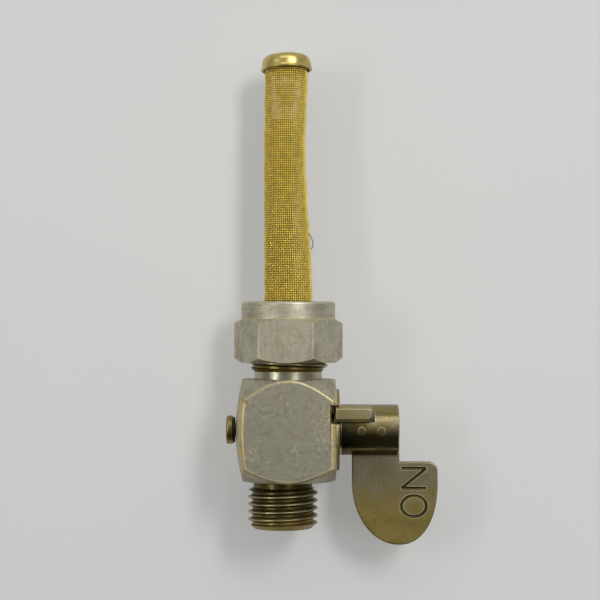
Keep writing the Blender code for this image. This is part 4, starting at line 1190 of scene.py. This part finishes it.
class FUELTAP_OT_stage(Operator):
    """Lay the pale sheet behind the tap and set the camera, lamps and world"""
    bl_idname = "fueltap.stage"
    bl_label = "Stage"

    def execute(self, context):
        scene = context.scene
        scene.view_settings.view_transform = 'Standard'
        self.sheet()
        self.world(scene)
        self.camera(scene)
        for name, azimuth_deg, elevation_deg, width, height, share in (
                ("key", 28, 25, 0.18, 0.36, 0.50),
                ("top", 4, 52, 1.10, 0.40, 0.20),
                ("left_window", -46, 6, 0.14, 0.50, 0.23),
                ("right_window", 25, -2, 0.08, 0.30, 0.05)):
            self.lamp(name, azimuth_deg, elevation_deg, width, height, share)
        return {'FINISHED'}

    def sheet(self):
        """The tap lies against this; it shows only its front, and lets light through behind."""
        width, just_behind, lift = 0.9, 0.0101, 0.42
        bpy.ops.object.select_all(action='DESELECT')
        bpy.ops.mesh.primitive_plane_add(size=width, location=(0, just_behind, 0),
                                         rotation=(math.pi / 2, 0, 0))
        sheet = bpy.context.object
        sheet.name = "pale_sheet"
        bpy.ops.object.transform_apply(location=True, rotation=True, scale=True)
        shader = Shader("pale_sheet", 0.0)
        tone = shader.mix(shader.step(shader.noise(9, 3), 0.35, 0.7), (0.665, 0.665, 0.65),
                          (0.64, 0.64, 0.63))
        shader.finish(tone, 0.7)
        clear = shader.node('ShaderNodeBsdfTransparent')
        glow = shader.node('ShaderNodeEmission', (0.655, 0.655, 0.64, 1), 1.0)
        behind = shader.node('ShaderNodeNewGeometry').outputs["Backfacing"]
        path = shader.node('ShaderNodeLightPath').outputs
        seen = shader.math('MAXIMUM', path["Is Camera Ray"], path["Is Glossy Ray"])
        lifted = shader.node('ShaderNodeMixShader', shader.math('MULTIPLY', seen, lift),
                             shader.principled.outputs[0], glow.outputs[0])
        unseen = shader.math('MAXIMUM', behind, path["Is Shadow Ray"])
        mixed = shader.node('ShaderNodeMixShader', unseen, lifted.outputs[0], clear.outputs[0])
        output = next(n for n in shader.tree.nodes if n.type == 'OUTPUT_MATERIAL')
        shader.tree.links.new(mixed.outputs[0], output.inputs["Surface"])
        sheet.data.materials.append(shader.material)

    def world(self, scene):
        """Pale above and dark below, so that metal shows its form."""
        world = bpy.data.worlds.new("pale_room")
        world.use_nodes = True
        scene.world = world
        tree = world.node_tree
        background = tree.nodes["Background"]
        coordinates = tree.nodes.new('ShaderNodeTexCoord')
        parts = tree.nodes.new('ShaderNodeSeparateXYZ')
        tree.links.new(coordinates.outputs["Generated"], parts.inputs[0])
        ramp = tree.nodes.new('ShaderNodeValToRGB')
        shift = tree.nodes.new('ShaderNodeMapRange')
        tree.links.new(parts.outputs[2], shift.inputs["Value"])
        shift.inputs["From Min"].default_value = -1.0
        shift.inputs["From Max"].default_value = 1.0
        tree.links.new(shift.outputs["Result"], ramp.inputs["Fac"])
        ramp.color_ramp.interpolation = 'EASE'
        dark_and_pale = ((0.25, 0.03), (0.95, 0.45))
        for element, (position, level) in zip(ramp.color_ramp.elements, dark_and_pale):
            element.position = position
            element.color = (level, level, level * 1.01, 1)
        tree.links.new(ramp.outputs["Color"], background.inputs["Color"])
        background.inputs["Strength"].default_value = 1.0

    def camera(self, scene):
        """Level and straight on, as far off and as wide as the photograph was taken."""
        distance, frame_width = 0.340, 0.1207
        data = bpy.data.cameras.new("viewer")
        data.lens = data.sensor_width * distance / frame_width
        data.shift_y = 0.0529
        data.clip_start, data.clip_end = 0.01, 10
        camera = bpy.data.objects.new("viewer", data)
        camera.location = (0.00235, -distance, -0.006)
        camera.rotation_euler = (math.pi / 2, 0, 0)
        scene.collection.objects.link(camera)
        scene.camera = camera

    def lamp(self, name, azimuth_deg, elevation_deg, width, height, share):
        """A soft box one metre off; its share is the part of a plain white level it gives."""
        azimuth, elevation = math.radians(azimuth_deg), math.radians(elevation_deg)
        place = Vector((math.sin(azimuth) * math.cos(elevation),
                        -math.cos(azimuth) * math.cos(elevation), math.sin(elevation)))
        data = bpy.data.lights.new(name, 'AREA')
        data.shape = 'RECTANGLE'
        data.size, data.size_y = width, height
        data.energy = share * math.pi ** 2
        lamp = bpy.data.objects.new(name, data)
        lamp.location = place
        lamp.rotation_euler = (-place).to_track_quat('-Z', 'Y').to_euler()
        bpy.context.scene.collection.objects.link(lamp)


class FUELTAP_PT_panel(Panel):
    """Sizes, finishes and the steps that model the tap"""
    bl_idname = "FUELTAP_PT_panel"
    bl_label = "Fuel tap"
    bl_space_type = 'VIEW_3D'
    bl_region_type = 'UI'
    bl_category = "Fuel tap"

    def draw(self, context):
        for group in (context.scene.fuel_tap_sizes, context.scene.fuel_tap_finishes):
            column = self.layout.column(align=True)
            for key in group.__annotations__:
                column.prop(group, key)
        for step in STEPS:
            self.layout.operator(step.bl_idname)


STEPS = (FUELTAP_OT_body, FUELTAP_OT_stub, FUELTAP_OT_outlet, FUELTAP_OT_nut,
         FUELTAP_OT_strainer, FUELTAP_OT_cap, FUELTAP_OT_plug, FUELTAP_OT_lug,
         FUELTAP_OT_lever, FUELTAP_OT_screw, FUELTAP_OT_hidden, FUELTAP_OT_stage)
CLASSES = (FuelTapSizes, FuelTapFinishes, *STEPS, FUELTAP_PT_panel)


def register():
    for cls in CLASSES:
        bpy.utils.register_class(cls)
    bpy.types.Scene.fuel_tap_sizes = PointerProperty(type=FuelTapSizes)
    bpy.types.Scene.fuel_tap_finishes = PointerProperty(type=FuelTapFinishes)


def unregister():
    del bpy.types.Scene.fuel_tap_finishes
    del bpy.types.Scene.fuel_tap_sizes
    for cls in reversed(CLASSES):
        bpy.utils.unregister_class(cls)


def main():
    register()
    bpy.ops.fueltap.body()
    bpy.ops.fueltap.stub()
    bpy.ops.fueltap.outlet()
    bpy.ops.fueltap.nut()
    bpy.ops.fueltap.strainer()
    bpy.ops.fueltap.cap()
    bpy.ops.fueltap.plug()
    bpy.ops.fueltap.lug()
    bpy.ops.fueltap.lever()
    bpy.ops.fueltap.screw()
    bpy.ops.fueltap.hidden()
    bpy.ops.fueltap.stage()


if __name__ == "__main__":
    main()
